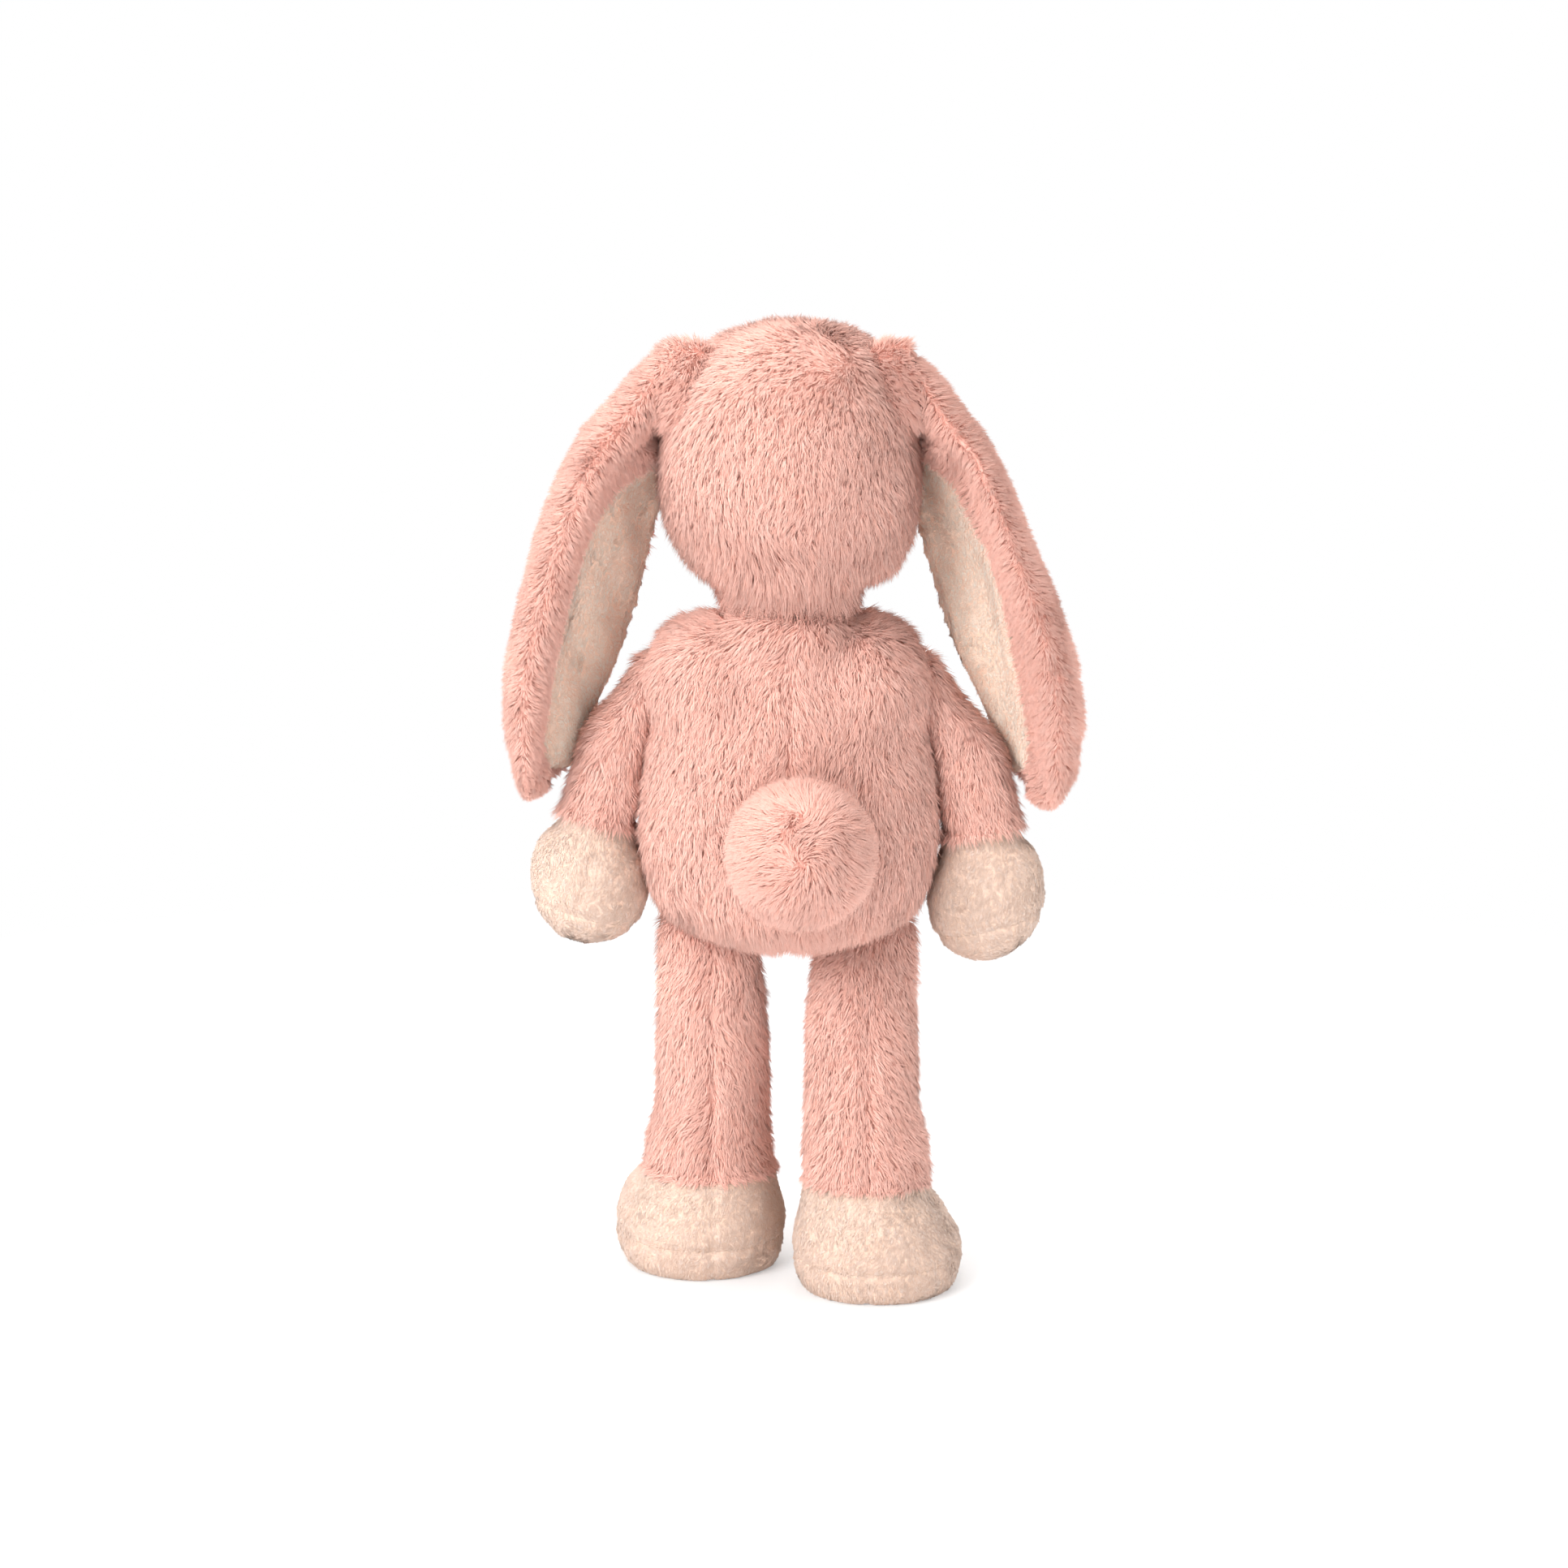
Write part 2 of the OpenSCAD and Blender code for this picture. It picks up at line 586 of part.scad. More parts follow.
module right_paw_pad() color(cream) at_right_arm() paw_pad();
module right_arm_stuffing() color(fibre) at_right_arm() limb_filling(arm_rows, -sleeve_l);

// ---- Legs ----

leg_h = leg_w / 2;
toe_shift = 4;  // each foot lies this far outside its leg
// Rows of a leg whose foot has its ankle at ankle_y and is turned out by toe_out.
function leg_rows(ankle_y, toe_out) =
    let (lean = (-hip_ahead - ankle_y) / (hip_z - hem_z))
    [
        for (k = [
            [0, 0.74, 0.82, 0.72, 1], [0.05, 0.85, 0.89, 0.83, 1], [0.16, 0.955, 0.965, 0.94, 1],
            [0.39, 1, 1, 1, 1], [0.66, 0.92, 0.88, 0.9, 0.8], [0.86, 0.80, 0.64, 0.77, 0.35]
        ]) [k[0] * hem_z, leg_x + k[4] * toe_shift, ankle_y, k[1] * foot_w / 2, k[2] * toe_l, k[3] * heel_l,
            0, toe_out],
        [hem_z, leg_x, ankle_y, leg_h, 0.95 * leg_h, 0.95 * leg_h, 0, toe_out],
        for (k = [
            [-62, 0, 0.91, 0.87], [-40, 0, 0.85, 0.81], [-22, 0, 0.82, 0.68], [-10, 0, 0.80, 0.52],
            [0, 0, 0.77, 0.37], [4, 2.5, 0.67, 0.31], [7.4, 7.5, 0.43, 0.21], [9, 11, 0.16, 0.1]
        ]) [hip_z + k[0], leg_x + k[1], -hip_ahead - lean * max(0, -k[0]), k[2] * leg_h, k[3] * leg_h,
            k[3] * leg_h, 0, 0]
    ];
left_leg_rows = leg_rows(stance_y - stride, left_toe_out);
right_leg_rows = leg_rows(stance_y + stride, right_toe_out);

module leg_cover(rows) cover(slice(rows, hem_z, high(rows)), plush_t, open_low = true);
module foot_cover(rows) cover(slice(rows, 0, hem_z), velboa_t, open_high = true);
module foot_upper(rows) intersection() {
    foot_cover(rows);
    block([-far, -far, sole_seam], [far, far, far]);
}
module foot_sole(rows) intersection() {
    foot_cover(rows);
    block([-far, -far, -far], [far, far, sole_seam]);
}
bag_t = 13;
module foot_bag(rows, grown = 0)
    translate([leg_x + toe_shift, rows[0][2] - 0.14 * foot_l, velboa_t + bag_t / 2 + 2])
    rotate([0, 0, rows[0][7]])
    pebble(foot_bag_w + 2 * grown, 1.3 * foot_bag_w + 2 * grown, bag_t + 2 * grown);
module leg_stuffing(rows) difference() {
    limb_filling(rows, hem_z);
    foot_bag(rows, fill_gap);
}
module left_leg_cover() color(pink) placed() leg_cover(left_leg_rows);
module left_foot_upper() color(cream) placed() foot_upper(left_leg_rows);
module left_foot_sole() color(cream) placed() foot_sole(left_leg_rows);
module left_leg_stuffing() color(fibre) placed() leg_stuffing(left_leg_rows);
module left_foot_pellet_bag() color(canvas) placed() foot_bag(left_leg_rows);
module right_leg_cover() color(pink) placed() mirrored() leg_cover(right_leg_rows);
module right_foot_upper() color(cream) placed() mirrored() foot_upper(right_leg_rows);
module right_foot_sole() color(cream) placed() mirrored() foot_sole(right_leg_rows);
module right_leg_stuffing() color(fibre) placed() mirrored() leg_stuffing(right_leg_rows);
module right_foot_pellet_bag() color(canvas) placed() mirrored() foot_bag(right_leg_rows);

body_back_left();
body_back_right();
body_front();
body_stuffing();
seat_pellet_bag();
tail_cover();
tail_stuffing();
neck_stuffing();
head_back();
head_gusset();
left_cheek();
right_cheek();
head_stuffing();
left_eye();
right_eye();
left_eye_washer();
right_eye_washer();
nose();
mouth();
left_ear_outer();
left_ear_lining();
left_ear_padding();
right_ear_outer();
right_ear_lining();
right_ear_padding();
left_arm_cover();
left_paw_outer();
left_paw_inner();
left_paw_pad();
left_arm_stuffing();
right_arm_cover();
right_paw_outer();
right_paw_inner();
right_paw_pad();
right_arm_stuffing();
left_leg_cover();
left_foot_upper();
left_foot_sole();
left_leg_stuffing();
left_foot_pellet_bag();
right_leg_cover();
right_foot_upper();
right_foot_sole();
right_leg_stuffing();
right_foot_pellet_bag();
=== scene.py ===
# %% [markdown]
# # A stuffed bunny rabbit
# The rabbit is sewn from a soft pink plush and, for its paws, feet and ear linings, a short cream velboa.
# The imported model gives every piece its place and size. This lesson puts cloth and pile on it.

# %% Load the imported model
import json
import math

import bmesh
import bpy
import numpy as np
from mathutils import Matrix, Vector
from mathutils.bvhtree import BVHTree
from mathutils.kdtree import KDTree

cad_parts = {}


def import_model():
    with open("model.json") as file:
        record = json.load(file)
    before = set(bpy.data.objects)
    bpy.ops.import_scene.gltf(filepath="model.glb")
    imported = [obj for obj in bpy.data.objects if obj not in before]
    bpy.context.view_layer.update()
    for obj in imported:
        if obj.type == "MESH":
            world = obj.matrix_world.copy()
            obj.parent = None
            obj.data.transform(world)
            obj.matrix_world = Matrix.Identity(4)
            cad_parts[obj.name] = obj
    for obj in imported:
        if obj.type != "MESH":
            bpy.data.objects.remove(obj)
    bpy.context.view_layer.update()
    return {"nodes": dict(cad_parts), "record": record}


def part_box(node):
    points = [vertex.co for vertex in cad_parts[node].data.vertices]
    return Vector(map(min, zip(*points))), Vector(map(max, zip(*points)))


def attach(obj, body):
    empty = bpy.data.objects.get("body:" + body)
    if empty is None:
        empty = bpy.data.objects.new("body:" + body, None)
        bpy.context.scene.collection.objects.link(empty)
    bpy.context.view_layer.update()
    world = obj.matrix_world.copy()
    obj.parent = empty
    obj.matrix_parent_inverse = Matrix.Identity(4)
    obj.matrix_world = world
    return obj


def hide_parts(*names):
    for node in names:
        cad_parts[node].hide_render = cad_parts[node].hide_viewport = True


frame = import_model()

# %% [markdown]
# Everything is in metres. The rabbit faces -Y with its feet on the floor at Z = 0. MM is a millimetre.

# %% Units and places
MM = 0.001
UP, BACK = np.array([0.0, 0.0, 1.0]), np.array([0.0, 1.0, 0.0])
SIDES = ("left", "right")
hinges = {j["name"]: j for j in frame["record"]["behaviour"]["joints"]}


def low(node):
    return np.array(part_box(node)[0])


def high(node):
    return np.array(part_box(node)[1])


def linked(name, data):
    thing = bpy.data.objects.new(name, data)
    bpy.context.scene.collection.objects.link(thing)
    return thing


def aimed(thing, place, target):
    thing.location = place
    thing.rotation_euler = (Vector(target) - Vector(place)).to_track_quat("-Z", "Y").to_euler()


def centre(node):
    return (low(node) + high(node)) / 2


def pivot(joint):
    return np.array(hinges[joint]["pos_m"])


side_seam_y = high("body_front")[1]
head_seam_y = low("head_back")[1]
neck = pivot("head_turn")

# %% [markdown]
# ## The camera
# A long lens a little over a metre away looks slightly down at the rabbit's back.

# %% Camera
DISTANCE, CAMERA_Z, AIM_Z, CAMERA_X = 1.35, 0.4421, 0.1971, 0.0019  # metres
FRAME_WIDTH, SENSOR_MM = 0.5998, 36  # how many metres the view takes in at the rabbit
lens = bpy.data.cameras.new("long_lens")
lens.sensor_width = SENSOR_MM
lens.lens = SENSOR_MM * math.hypot(DISTANCE, CAMERA_Z - AIM_Z) / FRAME_WIDTH
camera = linked("camera", lens)
aimed(camera, (CAMERA_X, DISTANCE, CAMERA_Z), (CAMERA_X, 0, AIM_Z))
bpy.context.scene.camera = camera
bpy.context.scene.view_settings.view_transform = "Standard"

# %% [markdown]
# ## Finishes
# A dyer's hex number is turned into linear light. Each cloth gets its colour from slow clouds of noise
# and its surface from fine noise.


# %% Colour and shader helpers
def dye(code):
    parts = [int(code[i:i + 2], 16) / 255 for i in (1, 3, 5)]
    return tuple(c / 12.92 if c <= 0.04045 else ((c + 0.055) / 1.055) ** 2.4 for c in parts) + (1.0,)


def plain(name, code, roughness, gloss):
    material = bpy.data.materials.new(name)
    material.use_nodes = True
    shader = material.node_tree.nodes["Principled BSDF"]
    shader.inputs["Base Color"].default_value = dye(code)
    shader.inputs["Roughness"].default_value = roughness
    shader.inputs["Specular IOR Level"].default_value = gloss
    material.diffuse_color = dye(code)
    return material


def node(owner, kind, **settings):
    """A new shader node, with its inputs and properties set by name."""
    made = owner.node_tree.nodes.new(kind)
    for key, value in settings.items():
        if key in made.inputs:
            made.inputs[key].default_value = value
        else:
            setattr(made, key, value)
    return made


def wired(owner, *wires):
    for source, target in wires:
        owner.node_tree.links.new(source, target)


def textured(material, kind, **settings):
    """A texture that is laid out in the piece's own space."""
    texture = node(material, kind, **settings)
    place = node(material, "ShaderNodeTexCoord")
    wired(material, (place.outputs["Object"], texture.inputs["Vector"]))
    return texture


def clouds(material, dyes, scale):
    """The colour of noise through a ramp of dyes."""
    noise = textured(material, "ShaderNodeTexNoise", Scale=scale, Detail=4, Roughness=0.6)
    tints = node(material, "ShaderNodeValToRGB")
    while len(tints.color_ramp.elements) < len(dyes):
        tints.color_ramp.elements.new(0.5)
    for i, code in enumerate(dyes):
        tints.color_ramp.elements[i].position = 0.3 + 0.4 * i / (len(dyes) - 1)
        tints.color_ramp.elements[i].color = dye(code)
    wired(material, (noise.outputs["Fac"], tints.inputs["Fac"]))
    return tints.outputs["Color"]


def bumped(material, texture, depth):
    bump = node(material, "ShaderNodeBump", Strength=1.0, Distance=depth)
    shader = material.node_tree.nodes["Principled BSDF"]
    wired(material, (texture.outputs["Fac"], bump.inputs["Height"]))
    wired(material, (bump.outputs["Normal"], shader.inputs["Normal"]))


def cloth(name, dyes, cloud_scale, grain_scale, grain_depth, roughness):
    material = plain(name, dyes[len(dyes) // 2], roughness, 0.15)
    colour = material.node_tree.nodes["Principled BSDF"].inputs["Base Color"]
    wired(material, (clouds(material, dyes, cloud_scale), colour))
    grain = textured(material, "ShaderNodeTexNoise", Scale=grain_scale, Detail=6, Roughness=0.7)
    bumped(material, grain, grain_depth)
    return material


# %% The cloths
pink_backing = cloth("pink_backing", ("#F4B9A9", "#F8C0B1", "#FBC8BA"), 90, 900, 0.4 * MM, 0.95)
velboa = cloth("velboa", ("#E5C5B0", "#E8CAB7", "#EBCFBE"), 160, 1500, 0.25 * MM, 0.95)
# The ear lining is the same cream velboa as the feet, coloured paler as painted light to lift the shade it lies
# in.
shade_lifted_lining_velboa = cloth("shade_lifted_lining_velboa", ("#F3CDB5", "#FCDCC5", "#FFEAD8"), 160, 1500, 0.25 * MM, 0.95)


def tones(name, *codes):
    """Root and tip colours for each of a pile's three tones: the deeper root colour is painted shade for the
    depth of the pile, the paler tip colour a painted sheen.
    """
    ends = ("root", "tip")
    return [plain(f"{name}_{i // 2}_{ends[i % 2]}", code, 0.9, 0.1) for i, code in enumerate(codes)]


# In each pair the root colour is deeper as painted shade and the tip colour paler as a painted sheen.
pink_tones = tones("pink_pile", "#F8B4A3", "#FEC3B2", "#FAB9A9", "#FFC9BA", "#FBC0B0", "#FFCEC0")
cream_tones = tones("cream_nap", "#E3C0AA", "#E7CAB9", "#E6C6B2", "#EACFBF", "#E9CCBA", "#EDD6C9")
# The lining's nap is likewise coloured paler than the cream nap, painted light that lifts the shade it lies in.
shade_lifted_lining_tones = tones("lining_nap", "#F6D2BA", "#FFE5D2", "#FADAC4", "#FFECDB", "#FDE2CE", "#FFF4E6")

# %% [markdown]
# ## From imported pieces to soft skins
# The cloth of a stuffed part is one closed skin: an even remesh of its panels and filling, which cloth
# simulation with pressure swells between its pinned seams, so each panel crowns over its filling.


# %% Mesh helpers
def built(name, bm):
    mesh = bpy.data.meshes.new(name)
    bm.to_mesh(mesh)
    bm.free()
    return linked(name, mesh)


def coordinates(mesh):
    flat = np.empty(len(mesh.vertices) * 3)
    mesh.vertices.foreach_get("co", flat)
    return flat.reshape(-1, 3)


def set_coordinates(mesh, points):
    mesh.vertices.foreach_set("co", points.ravel())
    mesh.update()


def normals(mesh):
    flat = np.empty(len(mesh.vertices) * 3)
    mesh.vertex_normals.foreach_get("vector", flat)
    return flat.reshape(-1, 3)


def joined(name, nodes, pads=()):
    """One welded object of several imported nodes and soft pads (centre, radii)."""
    bm = bmesh.new()
    for middle, radii in pads:
        bmesh.ops.create_icosphere(
            bm, subdivisions=3, radius=1, matrix=Matrix.Translation(middle) @ Matrix.Diagonal((*radii, 1)))
    for n in nodes:
        bm.from_mesh(frame["nodes"][n].data)
    bmesh.ops.remove_doubles(bm, verts=bm.verts, dist=0.01 * MM)
    return built(name, bm)


def as_shown(thing):
    return bpy.data.meshes.new_from_object(thing.evaluated_get(bpy.context.evaluated_depsgraph_get()))


def with_modifier(thing, kind, **settings):
    modifier = thing.modifiers.new(kind.lower(), kind)
    for key, value in settings.items():
        setattr(modifier, key, value)
    bpy.context.view_layer.update()
    result = as_shown(thing)
    thing.modifiers.clear()
    thing.data = result


def outer_shell(thing):
    """Keeps only the outermost of a mesh's separate surfaces."""
    bm = bmesh.new()
    bm.from_mesh(thing.data)
    waiting, kept = set(bm.verts), set()
    while waiting:
        group, border = set(), {waiting.pop()}
        while border:
            group |= border
            border = {e.other_vert(v) for v in border for e in v.link_edges} & waiting
            waiting -= border
        kept = max(kept, group, key=len)
    bmesh.ops.delete(bm, geom=[v for v in bm.verts if v not in kept], context="VERTS")
    bm.to_mesh(thing.data)
    bm.free()


def averaged(mesh, shares):
    """Moves each point part of the way to its neighbours' middle, once for each share."""
    points = coordinates(mesh)
    ends = np.array([e.vertices[:] for e in mesh.edges])
    degree = np.maximum(np.bincount(ends.ravel(), minlength=len(points)), 1)[:, None]
    for share in shares:
        around = np.stack([
            np.bincount(ends[:, 0], points[ends[:, 1], k], len(points))
            + np.bincount(ends[:, 1], points[ends[:, 0], k], len(points))
            for k in range(3)
        ], axis=1)
        points += share * (around / degree - points)
    set_coordinates(mesh, points)


def smoothed(mesh, rounds):
    """Evens a mesh out without shrinking it: each round gives back what was lost."""
    averaged(mesh, (0.5, -0.52) * rounds)


# %% Swelling with cloth simulation
FRAMES, PRESSURE = 20, 4


def swollen(thing, pinned, cap):
    """Blows the mesh up as cloth with its seams pinned, and moves no point further than cap."""
    before = coordinates(thing.data)
    group = thing.vertex_groups.new(name="seams")
    group.add([int(i) for i in np.flatnonzero(pinned(before))], 1.0, "REPLACE")
    modifier = thing.modifiers.new("cloth", "CLOTH")
    settings = modifier.settings
    settings.vertex_group_mass = "seams"
    settings.quality = 5
    settings.use_pressure = True
    settings.uniform_pressure_force = PRESSURE
    settings.effector_weights.gravity = 0
    modifier.collision_settings.use_collision = False
    for number in range(1, FRAMES + 1):
        bpy.context.scene.frame_set(number)
    result = as_shown(thing)
    after = coordinates(result)
    bpy.data.meshes.remove(result)
    thing.modifiers.clear()
    thing.vertex_groups.clear()
    bpy.context.scene.frame_set(1)
    move = after - before
    far = np.linalg.norm(move, axis=1, keepdims=True)
    set_coordinates(thing.data, before + move * np.minimum(1, cap / np.maximum(far, 1e-9)))


def skin(name, nodes, voxel, pinned, cap, inset, rounds=24, pads=()):
    """The closed skin of one stuffed part, drawn in by inset to leave room for its pile."""
    thing = joined(name, nodes, pads)
    packed = np.ptp(coordinates(thing.data), axis=0)
    with_modifier(thing, "REMESH", mode="VOXEL", voxel_size=voxel)
    outer_shell(thing)
    smoothed(thing.data, rounds)
    swollen(thing, pinned, cap)
    with_modifier(thing, "SUBSURF", levels=1)
    points = coordinates(thing.data)
    grow = float(np.mean(packed - np.ptp(points, axis=0))) / 2
    set_coordinates(thing.data, points + normals(thing.data) * (grow - inset))
    thing.data.shade_smooth()
    return thing


def dressed(piece, body, fabric, fill, *panels):
    """Puts cloth on a skin, attaches it to the body it rides on and hides the panels it stands for. fill is not
    used.
    """
    piece.data.materials.append(fabric)
    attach(piece, body)
    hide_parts(*panels)


# %% [markdown]
# A hand-made toy is never quite the shape of its pattern. These helpers let a skin out or draw it in.
# Those that push, fade or make a bell take their distances in millimetres.


# %% Shaping helpers
SLOPES = None  # the way to push a skin along its own slopes
FAR = 1.0  # for points that are nowhere near a seam
STITCH = 5.5 * MM  # from one pucker to the next


def ramp(values, start, end):
    """0 before start, 1 after end, and smooth between; end may be the lower one."""
    t = np.clip((values - start) / (end - start), 0, 1)
    return t * t * (3 - 2 * t)


def fade(distances, start, end):
    """A ramp over distances, with its start and end in millimetres."""
    return ramp(distances / MM, start, end)


def bell(distances, width):
    """1 at no distance, falling away over about this many millimetres."""
    return np.exp(-(distances / (width * MM)) ** 2)


def moved(thing, shift):
    """Moves a skin's points by what shift gives for the points and their slopes."""
    points = coordinates(thing.data)
    set_coordinates(thing.data, points + shift(points, normals(thing.data)))


def pushed(thing, way, amount):
    """Pushes a skin's points one way by each point's amount of millimetres."""
    moved(thing, lambda p, n: (n if way is SLOPES else way) * (MM * amount(p, n))[:, None])


def creased(thing, distance, depth, width, along=None):
    """Draws a seam in, given the distance from it, with puckers if along says how far along points are."""
    points = coordinates(thing.data)
    away = distance(points)
    pull = depth * np.exp(-(away / width) ** 2)
    if along is not None:
        pull += 0.25 * depth * np.exp(-away / (2.2 * width)) * np.sin(along(points) * 2 * math.pi / STITCH)
    set_coordinates(thing.data, points - normals(thing.data) * pull[:, None])

# %% [markdown]
# ## Pile
# Plush pile is thousands of fine fibres that lean with the nap and cling together in small locks. Each
# group of fibres is a thin closed spindle of six triangles: a root, three points round its belly and a
# tip. The root half is coloured deeper, painted shade for the depth of the pile, and the tip half paler,
# a painted sheen. Each tip is pulled towards the tip of its nearest lock.

# %% Pile sizes
PILE, PER_MM2, FIBRE = 8.5 * MM, 3.55, 0.32 * MM  # plush: length, fibres to a square mm, thickness
NAP_PER_MM2, NAP_FIBRE = 4.4, 0.3 * MM  # the velboa's short nap
MOST = 33000  # fibres in one piece: six triangles each stay under the export's limit
OWN_SHAPE = 0.09  # how much of a fibre's roundness its shading shows
ROOT_DEPTH = 0.8 * MM  # how far below the skin a long fibre starts
BEND = 0.45  # how far along a fibre its bend is
LOCK_SPIN, LOCK_TILT = 0.26, 0.1  # how far whole locks stray from the nap, in radians
SPIN, TILT = 0.2, 0.1  # how far a fibre strays from its lock
FLOOR_GAP = 0.3 * MM  # fibres under the feet are pressed flat at this height


# %% Pile helpers
def wander(points, size, seed):
    """Smooth vectors, about one long, that change over about this size."""
    waves = 5
    rng = np.random.default_rng(seed)
    total = np.zeros((len(points), 3))
    for _ in range(waves):
        wave = rng.normal(size=(3, 3)) * 2.2 / size
        total += np.sin(points @ wave.T + rng.uniform(0, 2 * math.pi, 3))
    return total / math.sqrt(waves)


def stirred(way, points, waves, seed):
    """A way for pile to lie, stirred by waves that each have a size in millimetres and a strength."""
    for i, (size, strength) in enumerate(waves):
        way = way + strength * wander(points, size * MM, seed + i)
    return way


def unit(vectors):
    return vectors / np.maximum(np.linalg.norm(vectors, axis=1, keepdims=True), 1e-9)


def turned(vectors, axes, angles):
    c, s = np.cos(angles)[:, None], np.sin(angles)[:, None]
    along = np.sum(axes * vectors, axis=1)[:, None]
    return vectors * c + np.cross(axes, vectors) * s + axes * (along * (1 - c))


def scattered(mesh, per_mm2, rng):
    """Points spread evenly over a mesh, with their slopes."""
    mesh.calc_loop_triangles()
    corners = np.empty(len(mesh.loop_triangles) * 3, int)
    mesh.loop_triangles.foreach_get("vertices", corners)
    corners = corners.reshape(-1, 3)
    points = coordinates(mesh)
    a, b, c = (points[corners[:, k]] for k in range(3))
    area = np.linalg.norm(np.cross(b - a, c - a), axis=1) / 2
    count = int(area.sum() * per_mm2 / MM ** 2)
    pick = rng.choice(len(area), count, p=area / area.sum())
    u, v = rng.random(count), rng.random(count)
    flip = u + v > 1
    u[flip], v[flip] = 1 - u[flip], 1 - v[flip]
    shares = np.stack([1 - u - v, u, v], axis=1)
    at, facing = (
        sum(values[corners[pick, k]] * shares[:, k:k + 1] for k in range(3))
        for values in (points, normals(mesh)))
    return at, unit(facing)


def spindles(name, roots, middles, tips, widths, tone, facing, materials):
    """One mesh of closed six-sided fibres, shaded mostly by the slope of the cloth they stand on."""
    count = len(roots)
    rng = np.random.default_rng(len(name) + count)
    line = unit(tips - roots)
    first = unit(np.cross(line, rng.normal(size=(count, 3))))
    second = np.cross(line, first)
    belly = [
        middles + (widths / 2)[:, None] * (math.cos(a) * first + math.sin(a) * second)
        for a in (0, 2 * math.pi / 3, 4 * math.pi / 3)
    ]
    points = np.stack([roots, *belly, tips], axis=1).reshape(-1, 3)
    pattern = np.array([[0, 2, 1], [0, 3, 2], [0, 1, 3], [4, 1, 2], [4, 2, 3], [4, 3, 1]])
    triangles = (pattern[None] + 5 * np.arange(count)[:, None, None]).reshape(-1, 3)
    mesh = bpy.data.meshes.new(name)
    mesh.vertices.add(len(points))
    mesh.vertices.foreach_set("co", points.ravel())
    mesh.loops.add(triangles.size)
    mesh.loops.foreach_set("vertex_index", triangles.ravel())
    mesh.polygons.add(len(triangles))
    mesh.polygons.foreach_set("loop_start", 3 * np.arange(len(triangles)))
    for material in materials:
        mesh.materials.append(material)
    # Root faces take the deeper colour, painted shade; tip faces take the paler one, a painted sheen.
    index = (2 * tone[:, None] + np.array([0, 0, 0, 1, 1, 1])[None]).ravel()
    mesh.polygons.foreach_set("material_index", index.astype(np.int32))
    mesh.update(calc_edges=True)
    mesh.shade_smooth()
    round_it = np.stack([np.zeros((count, 3)), *[unit(b - middles) for b in belly], line], axis=1)
    slopes = facing[:, None] + OWN_SHAPE * round_it
    mesh.normals_split_custom_set_from_vertices(unit(slopes.reshape(-1, 3)))
    return linked(name, mesh)


def combed(at, facing, flow, length, rise, rng, per_mm2, lean=(42, 72), lock_mm2=2.6, cling=0.26):
    """Roots, middles and tips of fibres that lean along flow, gathered into locks. lean gives the angles
    from upright of a fibre's two halves, rise stands them up, and cling is how tight the locks are."""
    count = len(at)
    flow = unit(flow - facing * np.sum(flow * facing, axis=1)[:, None])
    lock = rng.choice(count, max(1, int(count / (lock_mm2 * per_mm2))), replace=False)
    tree = KDTree(len(lock))
    for i, k in enumerate(lock):
        tree.insert(at[k], i)
    tree.balance()
    mine = np.array([tree.find(p)[1] for p in at])

    def grown(of, length, spin, tilt):
        out, way = facing[of], turned(flow[of], facing[of], spin)
        angles = [(np.radians(a) * (1 - rise[of]) + tilt)[:, None] for a in lean]
        first, second = (out * np.cos(a) + way * np.sin(a) for a in angles)
        start = at[of] - np.minimum(ROOT_DEPTH, 0.2 * length)[:, None] * out
        middle = start + BEND * length[:, None] * first
        return start, middle, middle + (1 - BEND) * length[:, None] * second

    spin, tilt = rng.normal(0, LOCK_SPIN, len(lock)), rng.normal(0, LOCK_TILT, len(lock))
    _, lock_middle, lock_tip = grown(lock, length[lock] * rng.uniform(0.9, 1.1, len(lock)), spin, tilt)
    start, middle, tip = grown(
        slice(None), length * rng.uniform(0.5, 1.1, count),
        spin[mine] + rng.normal(0, SPIN, count), tilt[mine] + rng.normal(0, TILT, count))
    hold = cling * rng.uniform(0.6, 1.2, count)[:, None]
    middle += (lock_middle[mine] - middle) * hold * 0.35
    tip += (lock_tip[mine] - tip) * hold
    tone = np.clip(np.round(rng.normal(1, 0.45, len(lock))[mine] + rng.normal(0, 0.2, count)), 0, 2)
    return start, middle, tip, tone.astype(int)


# %% [markdown]
# ## Room for the pile
# Where two soft parts press together, the pile between them is flattened: a fibre is no longer than the
# nearest other part leaves room for.

# %% Neighbours
bodies = frame["record"]["behaviour"]["bodies"]


def tree_of(nodes):
    bm = bmesh.new()
    for n in nodes:
        bm.from_mesh(frame["nodes"][n].data)
    return BVHTree.FromBMesh(bm)


outsides = {
    body: tree_of([n for n in nodes if "stuffing" not in n and "padding" not in n and "bag" not in n])
    for body, nodes in bodies.items() if body != "neck"
}
pressing = {
    "torso": ("left_arm", "right_arm", "left_leg", "right_leg"),
    "head": (),
    "left_ear": ("left_arm", "torso"), "right_ear": ("right_arm", "torso"),
    "left_arm": ("torso", "left_ear"), "right_arm": ("torso", "right_ear"),
    "left_leg": ("torso", "right_leg"), "right_leg": ("torso", "left_leg"),
}


def room(body, points, reach=9 * MM):
    """Distance to the nearest part that presses on this one, up to reach."""
    best = np.full(len(points), reach)
    for other in pressing[body]:
        tree = outsides[other]
        lows, highs = (np.array(c) for c in zip(*[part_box(n) for n in bodies[other]]))
        near = np.all((points > lows.min(axis=0) - reach) & (points < highs.max(axis=0) + reach), axis=1)
        for i in np.flatnonzero(near):
            found = tree.find_nearest(points[i], reach)
            if found[0] is not None:
                best[i] = min(best[i], found[3])
    return best


# %% Growing the pile
def everywhere(points):
    return np.ones(len(points), bool)


def behind(seam_y, side):
    return lambda p: (p[:, 1] > seam_y) & (side * p[:, 0] > 0)


def before(seam_y, side):
    return lambda p: (p[:, 1] <= seam_y) & (side * p[:, 0] > 0)


